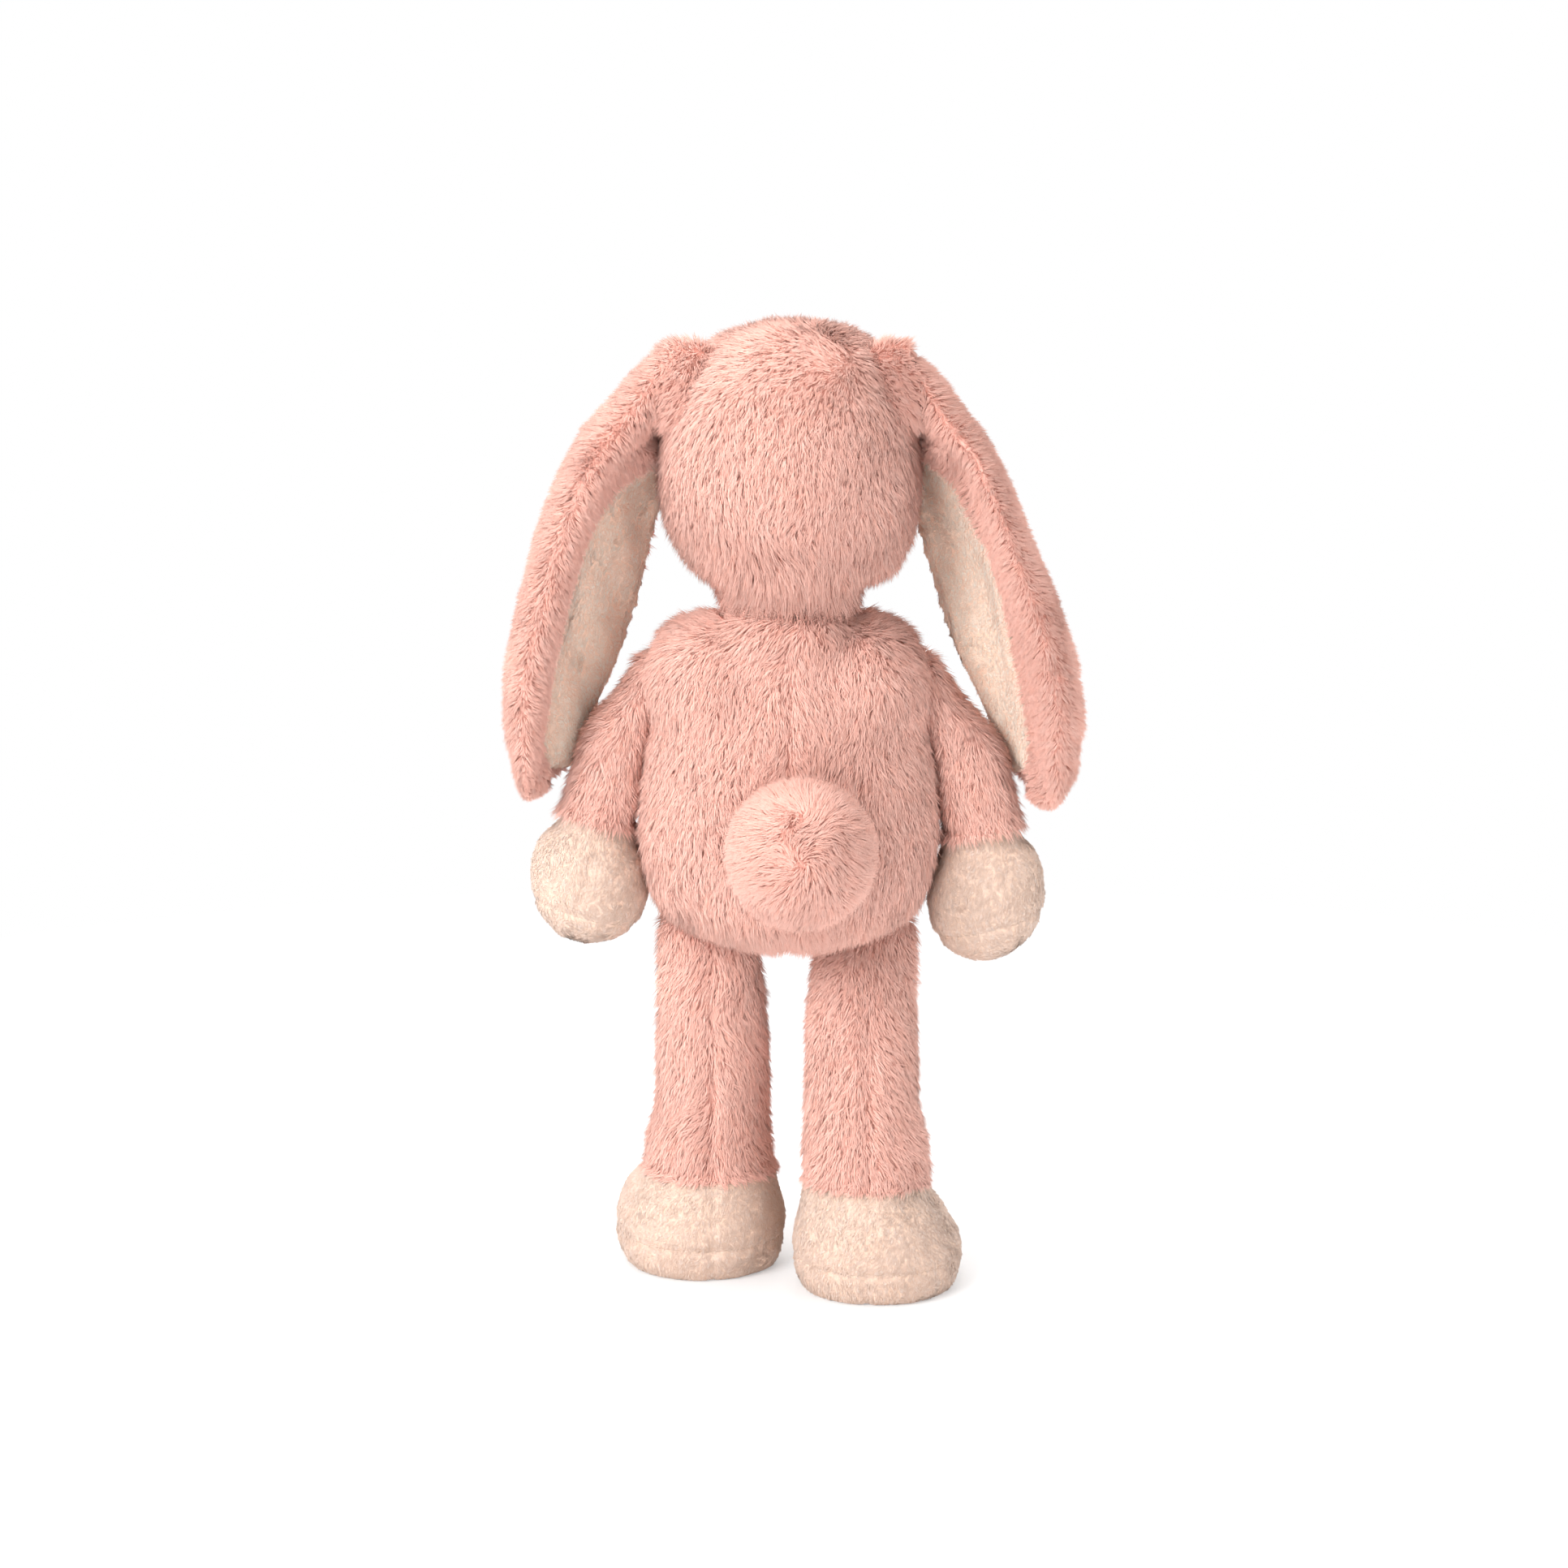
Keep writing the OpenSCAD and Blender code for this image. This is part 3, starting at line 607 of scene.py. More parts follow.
def pile(thing, body, zones, comb, per_mm2, width, materials, seed, keep=None, lit=None, **lay):
    """Grows pile on a skin. A zone is a name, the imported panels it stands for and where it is; comb gives
    each root's flow, length and rise. lit turns the slopes that fibres are shaded by."""
    rng = np.random.default_rng(seed)
    at, facing = scattered(thing.data, per_mm2, rng)
    if keep is not None:
        wanted = keep(at, facing)
        at, facing = at[wanted], facing[wanted]
    flow, length, rise = comb(at, facing)
    rise = rise + np.zeros(len(at))
    length = np.minimum(length, np.maximum(0.68 * PILE, room(body, at) * 1.5))
    roots, middles, tips, tone = combed(at, facing, flow, length, rise, rng, per_mm2, **lay)
    for part in (middles, tips):
        part[:, 2] = np.maximum(part[:, 2], FLOOR_GAP)
    widths = width * rng.uniform(0.75, 1.25, len(at))
    facing = facing if lit is None else unit(facing + lit(facing))
    for name, panels, inside in zones:
        zone = np.flatnonzero(inside(at))
        zone = zone[np.argsort(-at[zone, 2])]
        shares = np.array_split(zone, math.ceil(len(zone) / MOST))
        for number, chosen in enumerate(shares, 1):
            piece = spindles(
                name + (f"_{number}" if len(shares) > 1 else ""), roots[chosen], middles[chosen], tips[chosen],
                widths[chosen], tone[chosen], facing[chosen], materials)
            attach(piece, body)
            if panels:
                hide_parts(*panels)


def nap(thing, body, zones, way, waves, length, materials, seed, keep=None):
    """Grows velboa's short nap, which lies one way."""
    def comb(at, facing):
        return stirred(way, at, waves, seed + 5), length, 0

    pile(
        thing, body, zones, comb, NAP_PER_MM2, NAP_FIBRE, materials, seed + 7, keep,
        lean=(50, 74), lock_mm2=2.0, cling=0.4)


# %% [markdown]
# ## The body
# Two back panels meet in a seam down the back, and a front panel meets them at the sides.

# %% Body skin
rim_z = high("body_front")[2]
SOCKET = 25.6 * MM  # the radius round the neck that stays bare


def body_seam(points):
    """Distance from the nearest of the body's seams."""
    back = np.where(points[:, 1] > side_seam_y, np.abs(points[:, 0]), FAR)
    side = np.abs(points[:, 1] - side_seam_y)
    return np.minimum(back, side)


body_skin = skin(
    "body_skin",
    ["body_back_left", "body_back_right", "body_front", "body_stuffing", "seat_pellet_bag"], 4 * MM,
    lambda p: (body_seam(p) < 2.5 * MM) | (p[:, 2] > rim_z - 6 * MM), 2 * MM, 2.4 * MM)


def from_neck(points):
    """How far points are to a side of the neck, behind it and above it."""
    return np.abs(points[:, 0]), points[:, 1] - neck[1], points[:, 2] - neck[2]


def broad_shoulders(points, slopes):
    aside, _, above = from_neck(points)
    most = np.where(points[:, 0] > 0, 9.0, 7.0)
    return most * fade(above, -52, -30) * fade(above, -6, -21) * fade(aside, 14, 34)


def raised_rims(points, slopes):
    aside, back, above = from_neck(points)
    return 1.8 * fade(aside, 20, 29) * fade(aside, 50, 38) * fade(above, -22, -12) * fade(back, -14, 4)


pushed(body_skin, SLOPES, broad_shoulders)
pushed(
    body_skin, SLOPES,
    lambda p, n: (1.5 - 3.5 * fade(np.abs(p[:, 0]), 10, 26)) * fade(p[:, 2] - rim_z, -20, -4))
pushed(body_skin, UP, raised_rims)
creased(body_skin, body_seam, 0.9 * MM, 2.5 * MM)
dressed(body_skin, "torso", pink_backing, 0.9, "body_stuffing")


# %% Body pile
def body_comb(at, facing):
    down = stirred(-UP, at, ((32, 0.28), (12, 0.25)), 11)
    seam = bell(np.abs(at[:, 0]), 9) * (at[:, 1] > side_seam_y) * ramp(facing[:, 2], -0.7, -0.3)
    rim = fade(at[:, 2] - rim_z, -16, -5)
    down[:, 0] += np.sign(at[:, 0]) * 0.35 * seam * (1 - rim)
    length = PILE * (1 - 0.15 * bell(body_seam(at), 2) * (1 - rim) + 0.15 * rim)
    rise = np.maximum(0.2 * rim, 0.55 * ramp(facing[:, 2], -0.35, -0.8))
    return down, length, rise


pile(body_skin, "torso", [
    ("body_back_left_pile", ["body_back_left"], behind(side_seam_y, 1)),
    ("body_back_right_pile", ["body_back_right"], behind(side_seam_y, -1)),
    ("body_front_left_pile", ["body_front"], before(side_seam_y, 1)),
    ("body_front_right_pile", ["body_front"], before(side_seam_y, -1)),
], body_comb, PER_MM2, FIBRE, pink_tones, 21, lambda p, n: np.linalg.norm(p - neck, axis=1) > SOCKET)

# %% [markdown]
# ## The tail
# The tail is a ball. Its pile is a little shorter and denser, and brushed forward into a pompom.

# %% Tail
tail_root_y = low("tail_cover")[1]
tail_skin = skin(
    "tail_skin", ["tail_cover", "tail_stuffing"], 3 * MM,
    lambda p: p[:, 1] < tail_root_y + 4 * MM, 1 * MM, 3.8 * MM)
moved(tail_skin, lambda p, n: 2.5 * MM * UP - 5 * MM * BACK * fade(p[:, 1:2] - tail_root_y, 16, 2))
dressed(tail_skin, "torso", pink_backing, 0.8, "tail_stuffing")


def tail_comb(at, facing):
    flow = stirred(np.array([0.3, -1.0, -0.6]), at, ((11, 0.7),), 31)
    return flow, 7.5 * MM, 0


pile(
    tail_skin, "torso", [("tail_pile", ["tail_cover"], everywhere)], tail_comb, 5.0, FIBRE, pink_tones, 32,
    lambda p, n: p[:, 1] > tail_root_y + 3 * MM, lean=(16, 48), lock_mm2=2.0)

# %% [markdown]
# ## The head
# The back of the head is one panel, and a gusset runs from the crown down the nose between two cheeks.
# The pile is trimmed short round the eyes, the nose and the mouth.

# %% Head skin
trims = (("left_eye", 13), ("right_eye", 13), ("nose", 15), ("mouth", 14))  # reach in millimetres
crown_z = high("head_back")[2]


def head_seam(points):
    return np.abs(points[:, 1] - head_seam_y)


def face_trim(points):
    """1 away from the face's details, falling to 0 at them."""
    trim = np.ones(len(points))
    for detail, reach in trims:
        away = np.linalg.norm(points - centre(detail), axis=1) / (reach * MM)
        trim = np.minimum(trim, np.clip(away - 0.35, 0, 1))
    return trim


head_skin = skin(
    "head_skin", ["head_back", "head_gusset", "left_cheek", "right_cheek", "head_stuffing"], 4 * MM,
    lambda p: (head_seam(p) < 2.5 * MM) | (p[:, 2] < neck[2] + 6 * MM) | (face_trim(p) < 0.3), 2 * MM, 2.4 * MM)


def full_nape(points, slopes):
    return (4 - 3.5 * fade(points[:, 0], 6, 22)) * fade(points[:, 2] - neck[2], 22, 8)


def full_right_cheek(points, slopes):
    return 2.5 * fade(-points[:, 0], 18, 38) * bell(points[:, 2] - neck[2] - 20 * MM, 17)


def narrow_sides(points, slopes):
    aside, _, above = from_neck(points)
    return -np.where(points[:, 0] > 0, 1.8, 5.2) * fade(aside, 16, 30) * fade(above, 16, 2)


pushed(head_skin, SLOPES, lambda p, n: 1.6 * (1 - face_trim(p)))
for detail in ("nose", "mouth"):
    pushed(head_skin, SLOPES, lambda p, n: fade(np.linalg.norm(p - centre(detail), axis=1), 15, 7))
pushed(head_skin, SLOPES, full_nape)
pushed(head_skin, SLOPES, full_right_cheek)
pushed(head_skin, SLOPES, narrow_sides)
pushed(head_skin, UP, lambda p, n: 1.6 * fade(-p[:, 0], -20, -4) * fade(p[:, 2] - crown_z, -18, -4))
creased(head_skin, head_seam, 1.2 * MM, 2.5 * MM)
dressed(head_skin, "head", pink_backing, 0.95, "head_stuffing")


# %% Head pile
def head_comb(at, facing):
    crown = fade(at[:, 2] - crown_z, -22, -3)
    down = stirred(np.array([0.0, 0.3, -1.0]), at, ((34, 0.25), (11, 0.25 + 0.3 * crown[:, None])), 41)
    down += (crown * fade(at[:, 0], -26, 0))[:, None] * np.array([0.7, 0.1, 0.4])
    front = np.clip((head_seam_y - at[:, 1]) / (30 * MM), 0, 1)
    down += (front * 0.9)[:, None] * unit(at - centre("nose"))
    nape = fade(at[:, 2] - neck[2], 34, 7) * fade(np.abs(at[:, 0]), 30, 14)
    length = PILE * (0.3 + 0.7 * face_trim(at)) * (1 - 0.2 * front) * (1 + 0.75 * nape) * (1 - 0.15 * crown)
    rise = np.maximum(0.15 * crown, (0.5 + 0.35 * nape) * ramp(facing[:, 2], 0.05, -0.8))
    return down, length, rise


pile(head_skin, "head", [
    ("head_back_left_pile", ["head_back"], behind(head_seam_y, 1)),
    ("head_back_right_pile", ["head_back"], behind(head_seam_y, -1)),
    ("left_cheek_pile", ["head_gusset", "left_cheek"], before(head_seam_y, 1)),
    ("right_cheek_pile", ["head_gusset", "right_cheek"], before(head_seam_y, -1)),
], head_comb, PER_MM2, FIBRE, pink_tones, 43, lambda p, n: p[:, 2] > neck[2] - 1 * MM)

# %% [markdown]
# ## Limbs
# A leg or an arm is one skin, shaped and then cut square to its line at its hem and at the seam of its
# sole or paw tip, so the pieces meet exactly.

# %% Limb sizes
SEAM_GAP = 0.3 * MM  # bare cloth on each side of a hem or a seam
NAP = 2.3 * MM  # the length of the nap on paws and feet
FOOT_ROUND, PAW_ROUND = 36 * MM, 21 * MM  # radii that turn angles into lengths of seam
SOLE_Z = 0.2 * MM  # the height of the sole's cloth, under its nap
# In millimetres: how far the hem is raised, the leg drawn in, the ankle let out and the foot pinched
LEG_SHAPES = {"left": (-3, 0.0, 3.0, 0.0), "right": (1.5, 1.7, 2.5, 3.2)}
# How far the arm is let down and its outer side let out, its top tucked in and over what length, and its
# paw swung in and pushed up
ARM_SHAPES = {"left": (0, 2.5, 7, 30, 3.0, 3.5), "right": (4, 4.0, 9, 34, 3.8, 1.5)}


# %% Limb helpers
def cut(thing, name, planes):
    """A copy of a closed mesh, cut by planes and closed there. A plane is (point, direction to drop)."""
    bm = bmesh.new()
    bm.from_mesh(thing.data)
    for point, away in planes:
        geometry = bm.verts[:] + bm.edges[:] + bm.faces[:]
        made = bmesh.ops.bisect_plane(
            bm, geom=geometry, plane_co=point, plane_no=away, clear_outer=True, dist=1e-7)
        edges = [e for e in made["geom_cut"] if isinstance(e, bmesh.types.BMEdge)]
        bmesh.ops.holes_fill(bm, edges=edges)
    bmesh.ops.recalc_face_normals(bm, faces=bm.faces)
    piece = built(name, bm)
    piece.data.shade_smooth()
    return piece


def sewn(whole, body, names, panels, origin, line, hem, end, comb, nap_size, seed, lowest=-2):
    """Cuts a limb at its hem and its end seam, which are so far along its line, dresses the pieces, and
    grows plush over the hem and nap past it, but not where cloth faces down more than lowest."""
    side = body.split("_")[0]
    at_hem, at_end = origin + hem * line, origin + end * line
    planes = [[(at_hem, line)], [(at_hem, -line), (at_end, line)], [(at_end, -line)]]
    for name, fabric, where, stands_for in zip(names, (pink_backing, velboa, velboa), planes, panels):
        piece = cut(whole, f"{side}_{name}", where)
        dressed(piece, body, fabric, 0.9, *[f"{side}_{panel}" for panel in stands_for])

    def past(points, seam):
        return (points - origin) @ line - seam

    def napped(at, facing):
        return (past(at, hem) > SEAM_GAP) & (np.abs(past(at, end)) > SEAM_GAP) & (facing[:, 2] > lowest)

    pile(
        whole, body, [(body + "_pile", [body + "_cover"], everywhere)], comb, PER_MM2, FIBRE, pink_tones, seed,
        lambda p, n: past(p, hem) < -SEAM_GAP)
    nap(whole, body, [
        (f"{side}_{names[1]}_nap", [], lambda p: past(p, end) < 0),
        (f"{side}_{names[2]}_nap", [], lambda p: past(p, end) > 0),
    ], line, ((nap_size, 0.5), (5, 0.4)), NAP, cream_tones, seed, napped)
    bpy.data.objects.remove(whole)


# %% [markdown]
# ## The legs and feet
# Each leg is a plush tube sewn to a velboa foot with a flat sole.


# %% Legs
def leg(side, seed):
    hem_shift, aside, flare, pinch = LEG_SHAPES[side]
    hem_z, sole_z = high(side + "_foot_upper")[2] + hem_shift * MM, high(side + "_foot_sole")[2]
    middle, foot, hip = centre(side + "_leg_cover"), centre(side + "_foot_sole"), pivot(side + "_hip")
    outside = np.sign(hip[0]) * np.array([1.0, 0.0, 0.0])

    def back_seam(points):
        return np.where(points[:, 1] > middle[1], np.abs(points[:, 0] - middle[0]), FAR)

    def over_hem(points):
        return points[:, 2] - hem_z

    def from_sole(points):
        return np.abs(points[:, 2] - sole_z)

    def pinned(points):
        seams = np.minimum(np.minimum(from_sole(points), np.abs(over_hem(points))), back_seam(points))
        return (seams < 2 * MM) | (points[:, 2] < 2 * MM)

    def ankle(p, n):
        return flare * np.maximum(n @ outside, 0) * fade(over_hem(p), -6, 9) * fade(over_hem(p), 32, 12)

    def instep(p, n):
        return pinch * ramp(n @ outside, 0, 0.7) * fade(p[:, 2], 13, 24) * fade(over_hem(p), 5, -6)

    parts = ("leg_cover", "foot_upper", "foot_sole", "leg_stuffing", "foot_pellet_bag")
    nodes = [f"{side}_{part}" for part in parts]
    whole = skin(side + "_leg_whole", nodes, 3.5 * MM, pinned, 1.8 * MM, 0.3 * MM)
    pushed(whole, SLOPES, lambda p, n: -2.0 * fade(over_hem(p), -1, 5))  # room for the pile over the hem
    pushed(whole, SLOPES, lambda p, n: fade(over_hem(p), 20, 60))
    pushed(whole, 5 * UP + 2 * outside, lambda p, n: fade(p[:, 2] - hip[2], -26, 0))
    pushed(whole, -outside, lambda p, n: aside * fade(over_hem(p), 0, 12))
    pushed(whole, SLOPES, ankle)
    pushed(whole, -outside, instep)
    pushed(whole, -UP, lambda p, n: 3 * fade(p[:, 2], 14, 1))  # a flat sole with a small round edge
    pushed(whole, SLOPES, lambda p, n: 0.25 * wander(p, 12 * MM, seed + 8)[:, 0] * fade(over_hem(p), 0, -6))
    moved(whole, lambda p, n: UP * np.maximum(0, SOLE_Z - p[:, 2:]))
    creased(
        whole, from_sole, 0.6 * MM, 1.7 * MM,
        lambda p: np.arctan2(p[:, 1] - foot[1], p[:, 0] - foot[0]) * FOOT_ROUND)
    creased(
        whole, lambda p: np.where(over_hem(p) < 0, back_seam(p), FAR), 0.7 * MM, 1.5 * MM, lambda p: p[:, 2])
    creased(whole, lambda p: np.where(over_hem(p) > 0, back_seam(p), FAR), 1.4 * MM, 2.4 * MM)

    def leg_comb(at, facing):
        down = stirred(-UP, at, ((30, 0.22), (11, 0.25)), seed)
        down[:, 0] += np.sign(at[:, 0] - middle[0]) * 0.35 * bell(back_seam(at), 7)
        return down, PILE * (0.7 + 0.3 * fade(over_hem(at), 1, 8)), 0

    sewn(
        whole, side + "_leg", ("leg_skin", "foot_top", "foot_base"),
        (("leg_stuffing",), ("foot_upper",), ("foot_sole",)),
        np.zeros(3), -UP, -hem_z, -sole_z, leg_comb, 16, seed, -0.9)


for i, side in enumerate(SIDES):
    leg(side, 60 + 10 * i)

# %% [markdown]
# ## The arms and paws
# An arm hangs from the shoulder. Its hem and its paw seams are found along the arm's own line.


# %% Arms
def arm(side, seed):
    shoulder = pivot(side + "_shoulder")
    line = np.cross(np.array(hinges[side + "_shoulder"]["axis"]), BACK)
    outward = np.sign(shoulder[0]) * np.array([-line[2], 0.0, line[0]])
    stretch, fuller, tuck, tuck_length, swing, squash = ARM_SHAPES[side]

    def way(points):
        return (points - shoulder) @ line

    hem, tip = (
        way(coordinates(frame["nodes"][f"{side}_{panel}"].data)).min() for panel in ("paw_outer", "paw_pad"))

    def past_hem(points):
        return way(points) - hem

    def from_tip(points):
        return np.abs(way(points) - tip)

    def side_seams(points):
        """The seams between the two sides of the paw, in front and behind."""
        return np.where((way(points) > hem) & (way(points) < tip), np.abs((points - shoulder) @ outward), FAR)

    def pinned(points):
        return np.minimum(np.minimum(np.abs(past_hem(points)), from_tip(points)), side_seams(points)) < 2 * MM

    def forearm(p, n):
        return fuller * ramp(n @ outward, 0.1, 0.8) * fade(past_hem(p), -50, -25) * fade(past_hem(p), 5, -6)

    parts = ("arm_cover", "paw_outer", "paw_inner", "paw_pad", "arm_stuffing")
    nodes = [f"{side}_{part}" for part in parts]
    whole = skin(side + "_arm_whole", nodes, 3 * MM, pinned, 1.5 * MM, 0.2 * MM)
    pushed(whole, line, lambda p, n: stretch * fade(way(p), 0, 40))
    hem, tip = hem + stretch * MM, tip + stretch * MM
    pushed(whole, SLOPES, lambda p, n: -2.0 * fade(past_hem(p), 1, -5))  # room for the pile over the hem
    pushed(whole, SLOPES, lambda p, n: 1.5 * fade(past_hem(p), 2, 14))
    pushed(whole, -outward, lambda p, n: 2.5 * ramp(-n @ outward, 0.1, 0.8) * fade(past_hem(p), 0, -15))
    pushed(whole, outward, forearm)
    pushed(whole, -outward * tuck - UP * 2, lambda p, n: fade(way(p), tuck_length, -4))
    pushed(whole, -outward * swing - line * squash, lambda p, n: ramp(way(p), hem, tip + 14 * MM))
    pushed(whole, SLOPES, lambda p, n: 0.25 * wander(p, 12 * MM, seed + 8)[:, 0] * fade(past_hem(p), 0, 6))
    creased(
        whole, from_tip, 0.6 * MM, 1.9 * MM,
        lambda p: np.arctan2(p[:, 1] - shoulder[1], (p - shoulder) @ outward) * PAW_ROUND)
    creased(whole, side_seams, 0.6 * MM, 1.9 * MM, way)

    def arm_comb(at, facing):
        return stirred(line, at, ((26, 0.2), (10, 0.25)), seed), PILE, 0

    sewn(
        whole, side + "_arm", ("arm_skin", "paw_sides", "paw_tip"),
        (("arm_stuffing",), ("paw_outer", "paw_inner"), ("paw_pad",)),
        shoulder, line, hem, tip, arm_comb, 14, seed)


for i, side in enumerate(SIDES):
    arm(side, 100 + 10 * i)

# %% [markdown]
# ## The ears
# A plush back rolls over the edge of a velboa lining. The skin is made in one and parted between them.

# %% Ear sizes
# In millimetres: out and into say how far the outer and inner edges are let out at distances below the
# root, roll how far the plush comes over the lining, and lift how far the tip is raised. turn and lit
# say how the roll's shading turns to the light, and where.
EAR_SHAPES = {
    "left": dict(
        out=((0, -12.0), (8, -7.2), (15, -1.5), (23, 1.9), (46, 2.9), (62, 2.6), (77, 1.6), (108, 0.8),
             (124, -0.8), (139, -3.6), (147, -5.6), (155, -6.2), (163, -5), (172, -3)),
        into=((0, 6.5), (14, 5), (24, 7), (50, 6.5), (60, 5.5), (107, 6), (123, 4.5), (139, 4.5), (154, 4),
              (163, 2.5), (170, 0)),
        roll=0.0, lift=3.5, turn=(0.5, 0.8, 0.3), lit=(-0.4, 0.6)),
    "right": dict(
        out=((0, -17.5), (8, -11.0), (15, -7.2), (23, -4.1), (46, -2.8), (62, -2.4), (70, -1.5), (77, -0.2),
             (93, 1.5), (105, 2.6), (125, 2.6), (132, 2), (140, 0), (155, -1.5), (163, -2.1), (172, -0.5)),
        into=((0, 4.5), (14, 4.5), (24, 7), (50, 6.5), (60, 5), (110, 5), (125, 3), (145, 2.5), (154, 3),
              (163, 3.5), (170, 1)),
        roll=5.0, lift=-1.0, turn=(-0.6, 1.1, -0.5), lit=(-2, -1)),
}
EAR_LENGTH = 166  # millimetres


# %% Ears
def ear(side, seed):
    body = side + "_ear"
    outer, lining, padding = nodes = [side + "_ear_" + part for part in ("outer", "lining", "padding")]
    shape = EAR_SHAPES[side]
    root = pivot(side + "_ear_lift")
    inward = np.array([-np.sign(root[0]), 0.0, 0.0])
    fold = root + 4 * MM * inward - 9 * MM * UP
    fold[1] = outsides["head"].ray_cast(Vector((fold[0], 1, fold[2])), Vector((0, -1, 0)))[0][1] - 3 * MM
    whole = skin(
        side + "_ear_whole", nodes, 2 * MM, lambda p: np.linalg.norm(p - root, axis=1) < 8 * MM, 0.8 * MM, 0.0,
        20, [(fold, (13 * MM, 8 * MM, 16 * MM))])
    points = coordinates(whole.data)
    steps = np.arange(0, EAR_LENGTH, 5) * MM
    slices = [np.abs(points[np.abs(root[2] - points[:, 2] - d) < 4 * MM, 0]) for d in steps]

    def across(p):
        """Millimetres below the root, and how far out across the ear, from -1 to 1."""
        hang = root[2] - p[:, 2]
        inner, outermost = (np.interp(hang, steps, [pick(s) for s in slices]) for pick in (np.min, np.max))
        return hang / MM, np.clip(2 * (np.abs(p[:, 0]) - inner) / (outermost - inner) - 1, -1.2, 1.2)

    def plumped(p, n):
        """Fills the roll along the outer edge and lays soft folds in the lining."""
        hang, u = across(p)
        there = ramp(hang, 12, 40) * ramp(hang, 172, 140)
        faces = ramp(n @ (0.8 * inward + 0.6 * BACK), 0, 0.6)
        roll_out = 5.5 * ramp(u, -0.1, 0.35) * ramp(u, 1.15, 0.55) * ramp(n[:, 1], -0.3, 0.3) * there
        folds = 1.2 * wander(p * [1, 1, 0.22], 8 * MM, seed + 9)[:, 0] * faces * there * ramp(u, 0.1, -0.3)
        return (0.3 * inward + 0.95 * BACK) * (roll_out * MM)[:, None] + n * (folds * MM)[:, None]

    def widened(p, n):
        hang, u = across(p)
        at_outer, at_inner = (np.interp(hang, *zip(*shape[edge])) for edge in ("out", "into"))
        shift = at_outer * np.maximum(u, 0) + at_inner * np.minimum(u, 0)
        lift = 4 * ramp(hang, 16, 0) + shape["lift"] * ramp(hang, 146, 172)
        return -inward * (shift * MM)[:, None] + UP * (lift * MM)[:, None]

    lining_tree, outer_tree = tree_of([lining]), tree_of([outer])
    middles = np.array([f.center[:] for f in whole.data.polygons])
    hang, u = across(middles)
    margin = 0.2 + shape["roll"] * ramp(hang, 20, 55) * ramp(hang, 165, 120) * ramp(u, -0.3, 0.1)
    cream_faces = {
        i for i, p in enumerate(middles)
        if lining_tree.find_nearest(Vector(p))[3] + margin[i] * MM < outer_tree.find_nearest(Vector(p))[3]
    }
    hang, u = across(points)
    over_roll = ramp(u, 0.0, 0.25) * ramp(u, 1.0, 0.88) * ramp(normals(whole.data)[:, 1], -0.2, 0.3)
    even = ramp(hang, 4, 20) * over_roll
    averaged(whole.data, (0.5 * even[:, None],) * 60)
    moved(whole, plumped)
    moved(whole, widened)
    averaged(whole.data, (0.5 * even[:, None],) * 40)
    smoothed(whole.data, 6)
    bm = bmesh.new()
    bm.from_mesh(whole.data)
    borders = [
        (e.verts[0].co + e.verts[1].co) / 2
        for e in bm.edges if len({f.index in cream_faces for f in e.link_faces}) == 2
    ]

    def parted(part, is_cream, inset):
        """One cloth's faces as a piece of their own."""
        cloth_mesh = bm.copy()
        drop = [f for f in cloth_mesh.faces if (f.index in cream_faces) != is_cream]
        bmesh.ops.delete(cloth_mesh, geom=drop, context="FACES")
        piece = built(f"{side}_{part}", cloth_mesh)
        piece.data.shade_smooth()
        moved(piece, lambda p, n: -n * inset)
        return piece

    ear_back, ear_inside = parted("ear_back", False, 1.2 * MM), parted("ear_inside", True, 0.2 * MM)
    bm.free()
    bpy.data.objects.remove(whole)
    rim_tree = KDTree(len(borders))
    for i, p in enumerate(borders):
        rim_tree.insert(p, i)
    rim_tree.balance()

    def ear_comb(at, facing):
        flow = stirred(-UP, at, ((24, 0.3), (9, 0.35)), seed)
        near = bell(np.linalg.norm(at - fold, axis=1), 18)
        flow -= 1.2 * near[:, None] * inward
        edge = np.array([rim_tree.find(p)[2] for p in at])
        on_roll = ramp(facing[:, 1], -0.2, 0.4)
        flow += 1.1 * (on_roll * bell(edge, 7))[:, None] * inward
        shorter = 1 - 0.4 * fade(root[2] - at[:, 2], 150, 168)
        length = (5.6 * MM + 2.6 * MM * near) * np.maximum(on_roll, 0.5 + 0.5 * fade(edge, 0, 5)) * shorter
        return flow, length, 0.2 + 0.25 * on_roll

    def catching_light(n):
        return np.array(shape["turn"]) * (ramp(n[:, 1], -0.5, 0.1) * ramp(n @ inward, *shape["lit"]))[:, None]

    pile(
        ear_back, body, [(side + "_ear_pile", [outer], everywhere)], ear_comb, 1.3 * PER_MM2, FIBRE,
        pink_tones, seed, lit=catching_light, lean=(36, 64), lock_mm2=2.4, cling=0.36)
    # The lining's nap and cloth are the paler copies of the cream velboa: painted light over its shade.
    nap(ear_inside, body, [(side + "_ear_nap", [], everywhere)], -UP, ((14, 0.5), (6, 0.6)), 2.0 * MM,
        shade_lifted_lining_tones, seed)
    for piece in (ear_back, ear_inside):
        with_modifier(piece, "SOLIDIFY", thickness=1.0 * MM, offset=-1)
    dressed(ear_back, body, pink_backing, 0.4, padding)
    dressed(ear_inside, body, shade_lifted_lining_velboa, 0.4, lining)


for i, side in enumerate(SIDES):
    ear(side, 140 + 10 * i)

# %% [markdown]
# ## The face and what lies inside
# The eyes are glossy domes held by washers behind the cloth. The nose and mouth are stitched.


# %% Face and inside
def moulded(name, dyes, roughness, coat):
    """A plastic, faintly clouded, with the slight ripple of its skin."""
    material = cloth(name, dyes, 260, 500, 0.015 * MM, roughness)
    shader = material.node_tree.nodes["Principled BSDF"]
    shader.inputs["Specular IOR Level"].default_value = 0.5
    shader.inputs["Coat Weight"].default_value = coat
    return material


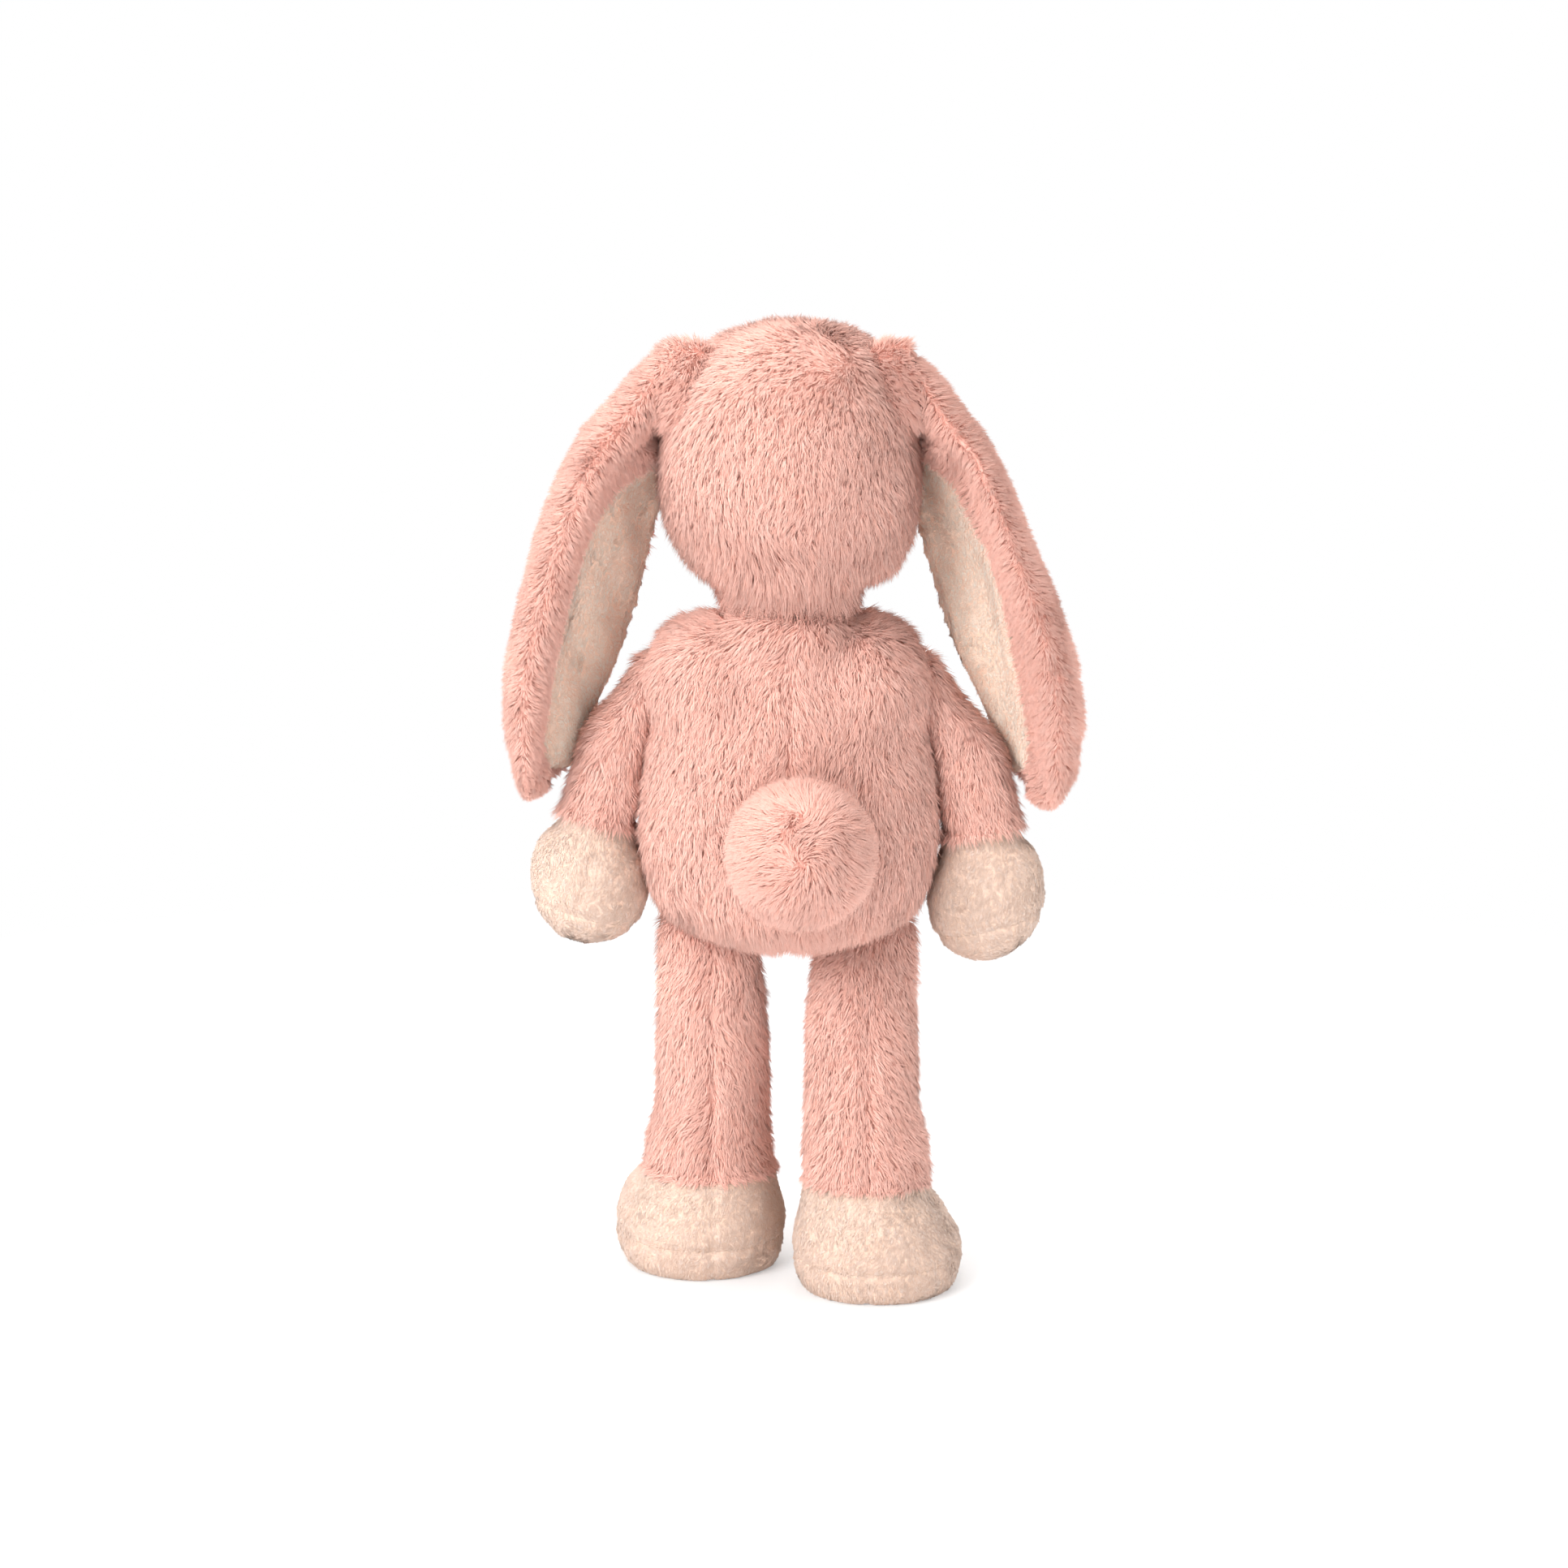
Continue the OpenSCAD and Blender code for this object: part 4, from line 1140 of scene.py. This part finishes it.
def stitched(name, direction, pitch):
    """Rows of thread across one direction, a pitch apart."""
    material = cloth(name, ("#A86A62", "#B5756C", "#BE8077"), 700, 2600, 0.2 * MM, 0.6)
    rows = textured(
        material, "ShaderNodeTexWave", wave_type="BANDS", bands_direction=direction,
        Scale=2 * math.pi / (20 * pitch), Distortion=1.2, Detail=2)
    bumped(material, rows, 0.4 * MM)
    return material


def finish(name, material):
    data = frame["nodes"][name].data
    data.materials.clear()
    data.materials.append(material)


eye_gloss = moulded("eye_gloss", ("#150C09", "#1C110D", "#261812"), 0.18, 0.3)
washer_finish = moulded("washer", ("#E2E0DA", "#E8E6E0", "#EEECE7"), 0.45, 0.0)
satin_thread = stitched("satin_thread", "X", 0.9 * MM)
twisted_thread = stitched("twisted_thread", "DIAGONAL", 1.3 * MM)
filling = cloth("fibre_filling", ("#E8E8E4", "#F2F2EE", "#FAFAF7"), 300, 1200, 0.8 * MM, 0.95)
canvas = cloth("pellet_bag", ("#CFC7B4", "#D8D0BE", "#E0D9C9"), 400, 1800, 0.4 * MM, 0.9)
for side in SIDES:
    finish(side + "_eye", eye_gloss)
    finish(side + "_eye_washer", washer_finish)
    finish(side + "_foot_pellet_bag", canvas)
finish("seat_pellet_bag", canvas)
finish("neck_stuffing", filling)
finish("nose", satin_thread)
finish("mouth", twisted_thread)

# %% [markdown]
# Turned hard to one side, the head shows a sliver of the neck's wad, so it wears a thin collar.

# %% Collar
collar = joined("neck_collar", ["neck_stuffing"])
moved(collar, lambda p, n: n * 0.15 * MM)
collar.data.shade_smooth()
collar.data.materials.append(pink_backing)
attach(collar, "neck")

# %% [markdown]
# ## The studio
# A pale floor that turns to white with distance, a white surround and four large soft lamps.

# %% Studio
WHITE = (1, 1, 1, 1)
FLOOR_SIZE = 12.0


def seen_directly(owner):
    """1 for the camera's own rays and for those that a gloss or a clear part sends on."""
    path = node(owner, "ShaderNodeLightPath")
    seen = path.outputs["Is Camera Ray"]
    for ray in ("Is Glossy Ray", "Is Transmission Ray"):
        either = node(owner, "ShaderNodeMath", operation="MAXIMUM")
        wired(owner, (seen, either.inputs[0]), (path.outputs[ray], either.inputs[1]))
        seen = either.outputs[0]
    return seen


def mixed(owner, share, first, second, output):
    mix = node(owner, "ShaderNodeMixShader")
    wired(
        owner, (share, mix.inputs["Fac"]), (first.outputs[0], mix.inputs[1]),
        (second.outputs[0], mix.inputs[2]), (mix.outputs[0], owner.node_tree.nodes[output].inputs["Surface"]))


world = bpy.data.worlds.new("studio")
bpy.context.scene.world = world
world.use_nodes = True
surround = world.node_tree.nodes["Background"]
surround.inputs["Color"].default_value = (1.0, 0.985, 0.97, 1)
surround.inputs["Strength"].default_value = 0.85
shown = node(world, "ShaderNodeBackground", Color=WHITE, Strength=1.0)
mixed(world, seen_directly(world), surround, shown, "World Output")

floor_mesh = bpy.data.meshes.new("floor")
floor_mesh.from_pydata(
    [(x * FLOOR_SIZE, y * FLOOR_SIZE, 0) for x, y in ((-1, -1), (1, -1), (1, 1), (-1, 1))], [], [(0, 1, 2, 3)])
floor = linked("floor", floor_mesh)
floor_white = bpy.data.materials.new("floor_white")
floor_white.use_nodes = True
surface = floor_white.node_tree.nodes["Principled BSDF"]
surface.inputs["Base Color"].default_value = (0.93, 0.94, 0.95, 1)
surface.inputs["Roughness"].default_value = 0.9
glow = node(floor_white, "ShaderNodeEmission", Color=WHITE, Strength=1.0)
place = node(floor_white, "ShaderNodeTexCoord")
distance = node(floor_white, "ShaderNodeVectorMath", operation="LENGTH")
growing = node(
    floor_white, "ShaderNodeMapRange", **{"From Min": 0.12, "From Max": 0.75, "To Min": 0.35, "To Max": 1.0})
share = node(floor_white, "ShaderNodeMath", operation="MULTIPLY")
wired(
    floor_white,
    (place.outputs["Object"], distance.inputs[0]), (distance.outputs["Value"], growing.inputs["Value"]),
    (growing.outputs["Result"], share.inputs[0]), (seen_directly(floor_white), share.inputs[1]))
mixed(floor_white, share.outputs[0], surface, glow, "Material Output")
floor_mesh.materials.append(floor_white)


def lamp(name, place, power, width, aim=(0, 0, 0.19)):
    light = bpy.data.lights.new(name, "AREA")
    light.shape = "DISK"
    light.size = width
    light.energy = power
    aimed(linked(name, light), place, aim)


lamp("key", (1.35, 1.7, 1.5), 53, 1.5)
lamp("fill", (-1.6, 1.4, 0.9), 4, 1.6)
lamp("top", (0.1, -0.2, 2.2), 18, 1.8)
lamp("front_fill", (0.0, -2.0, 1.0), 16, 1.8)
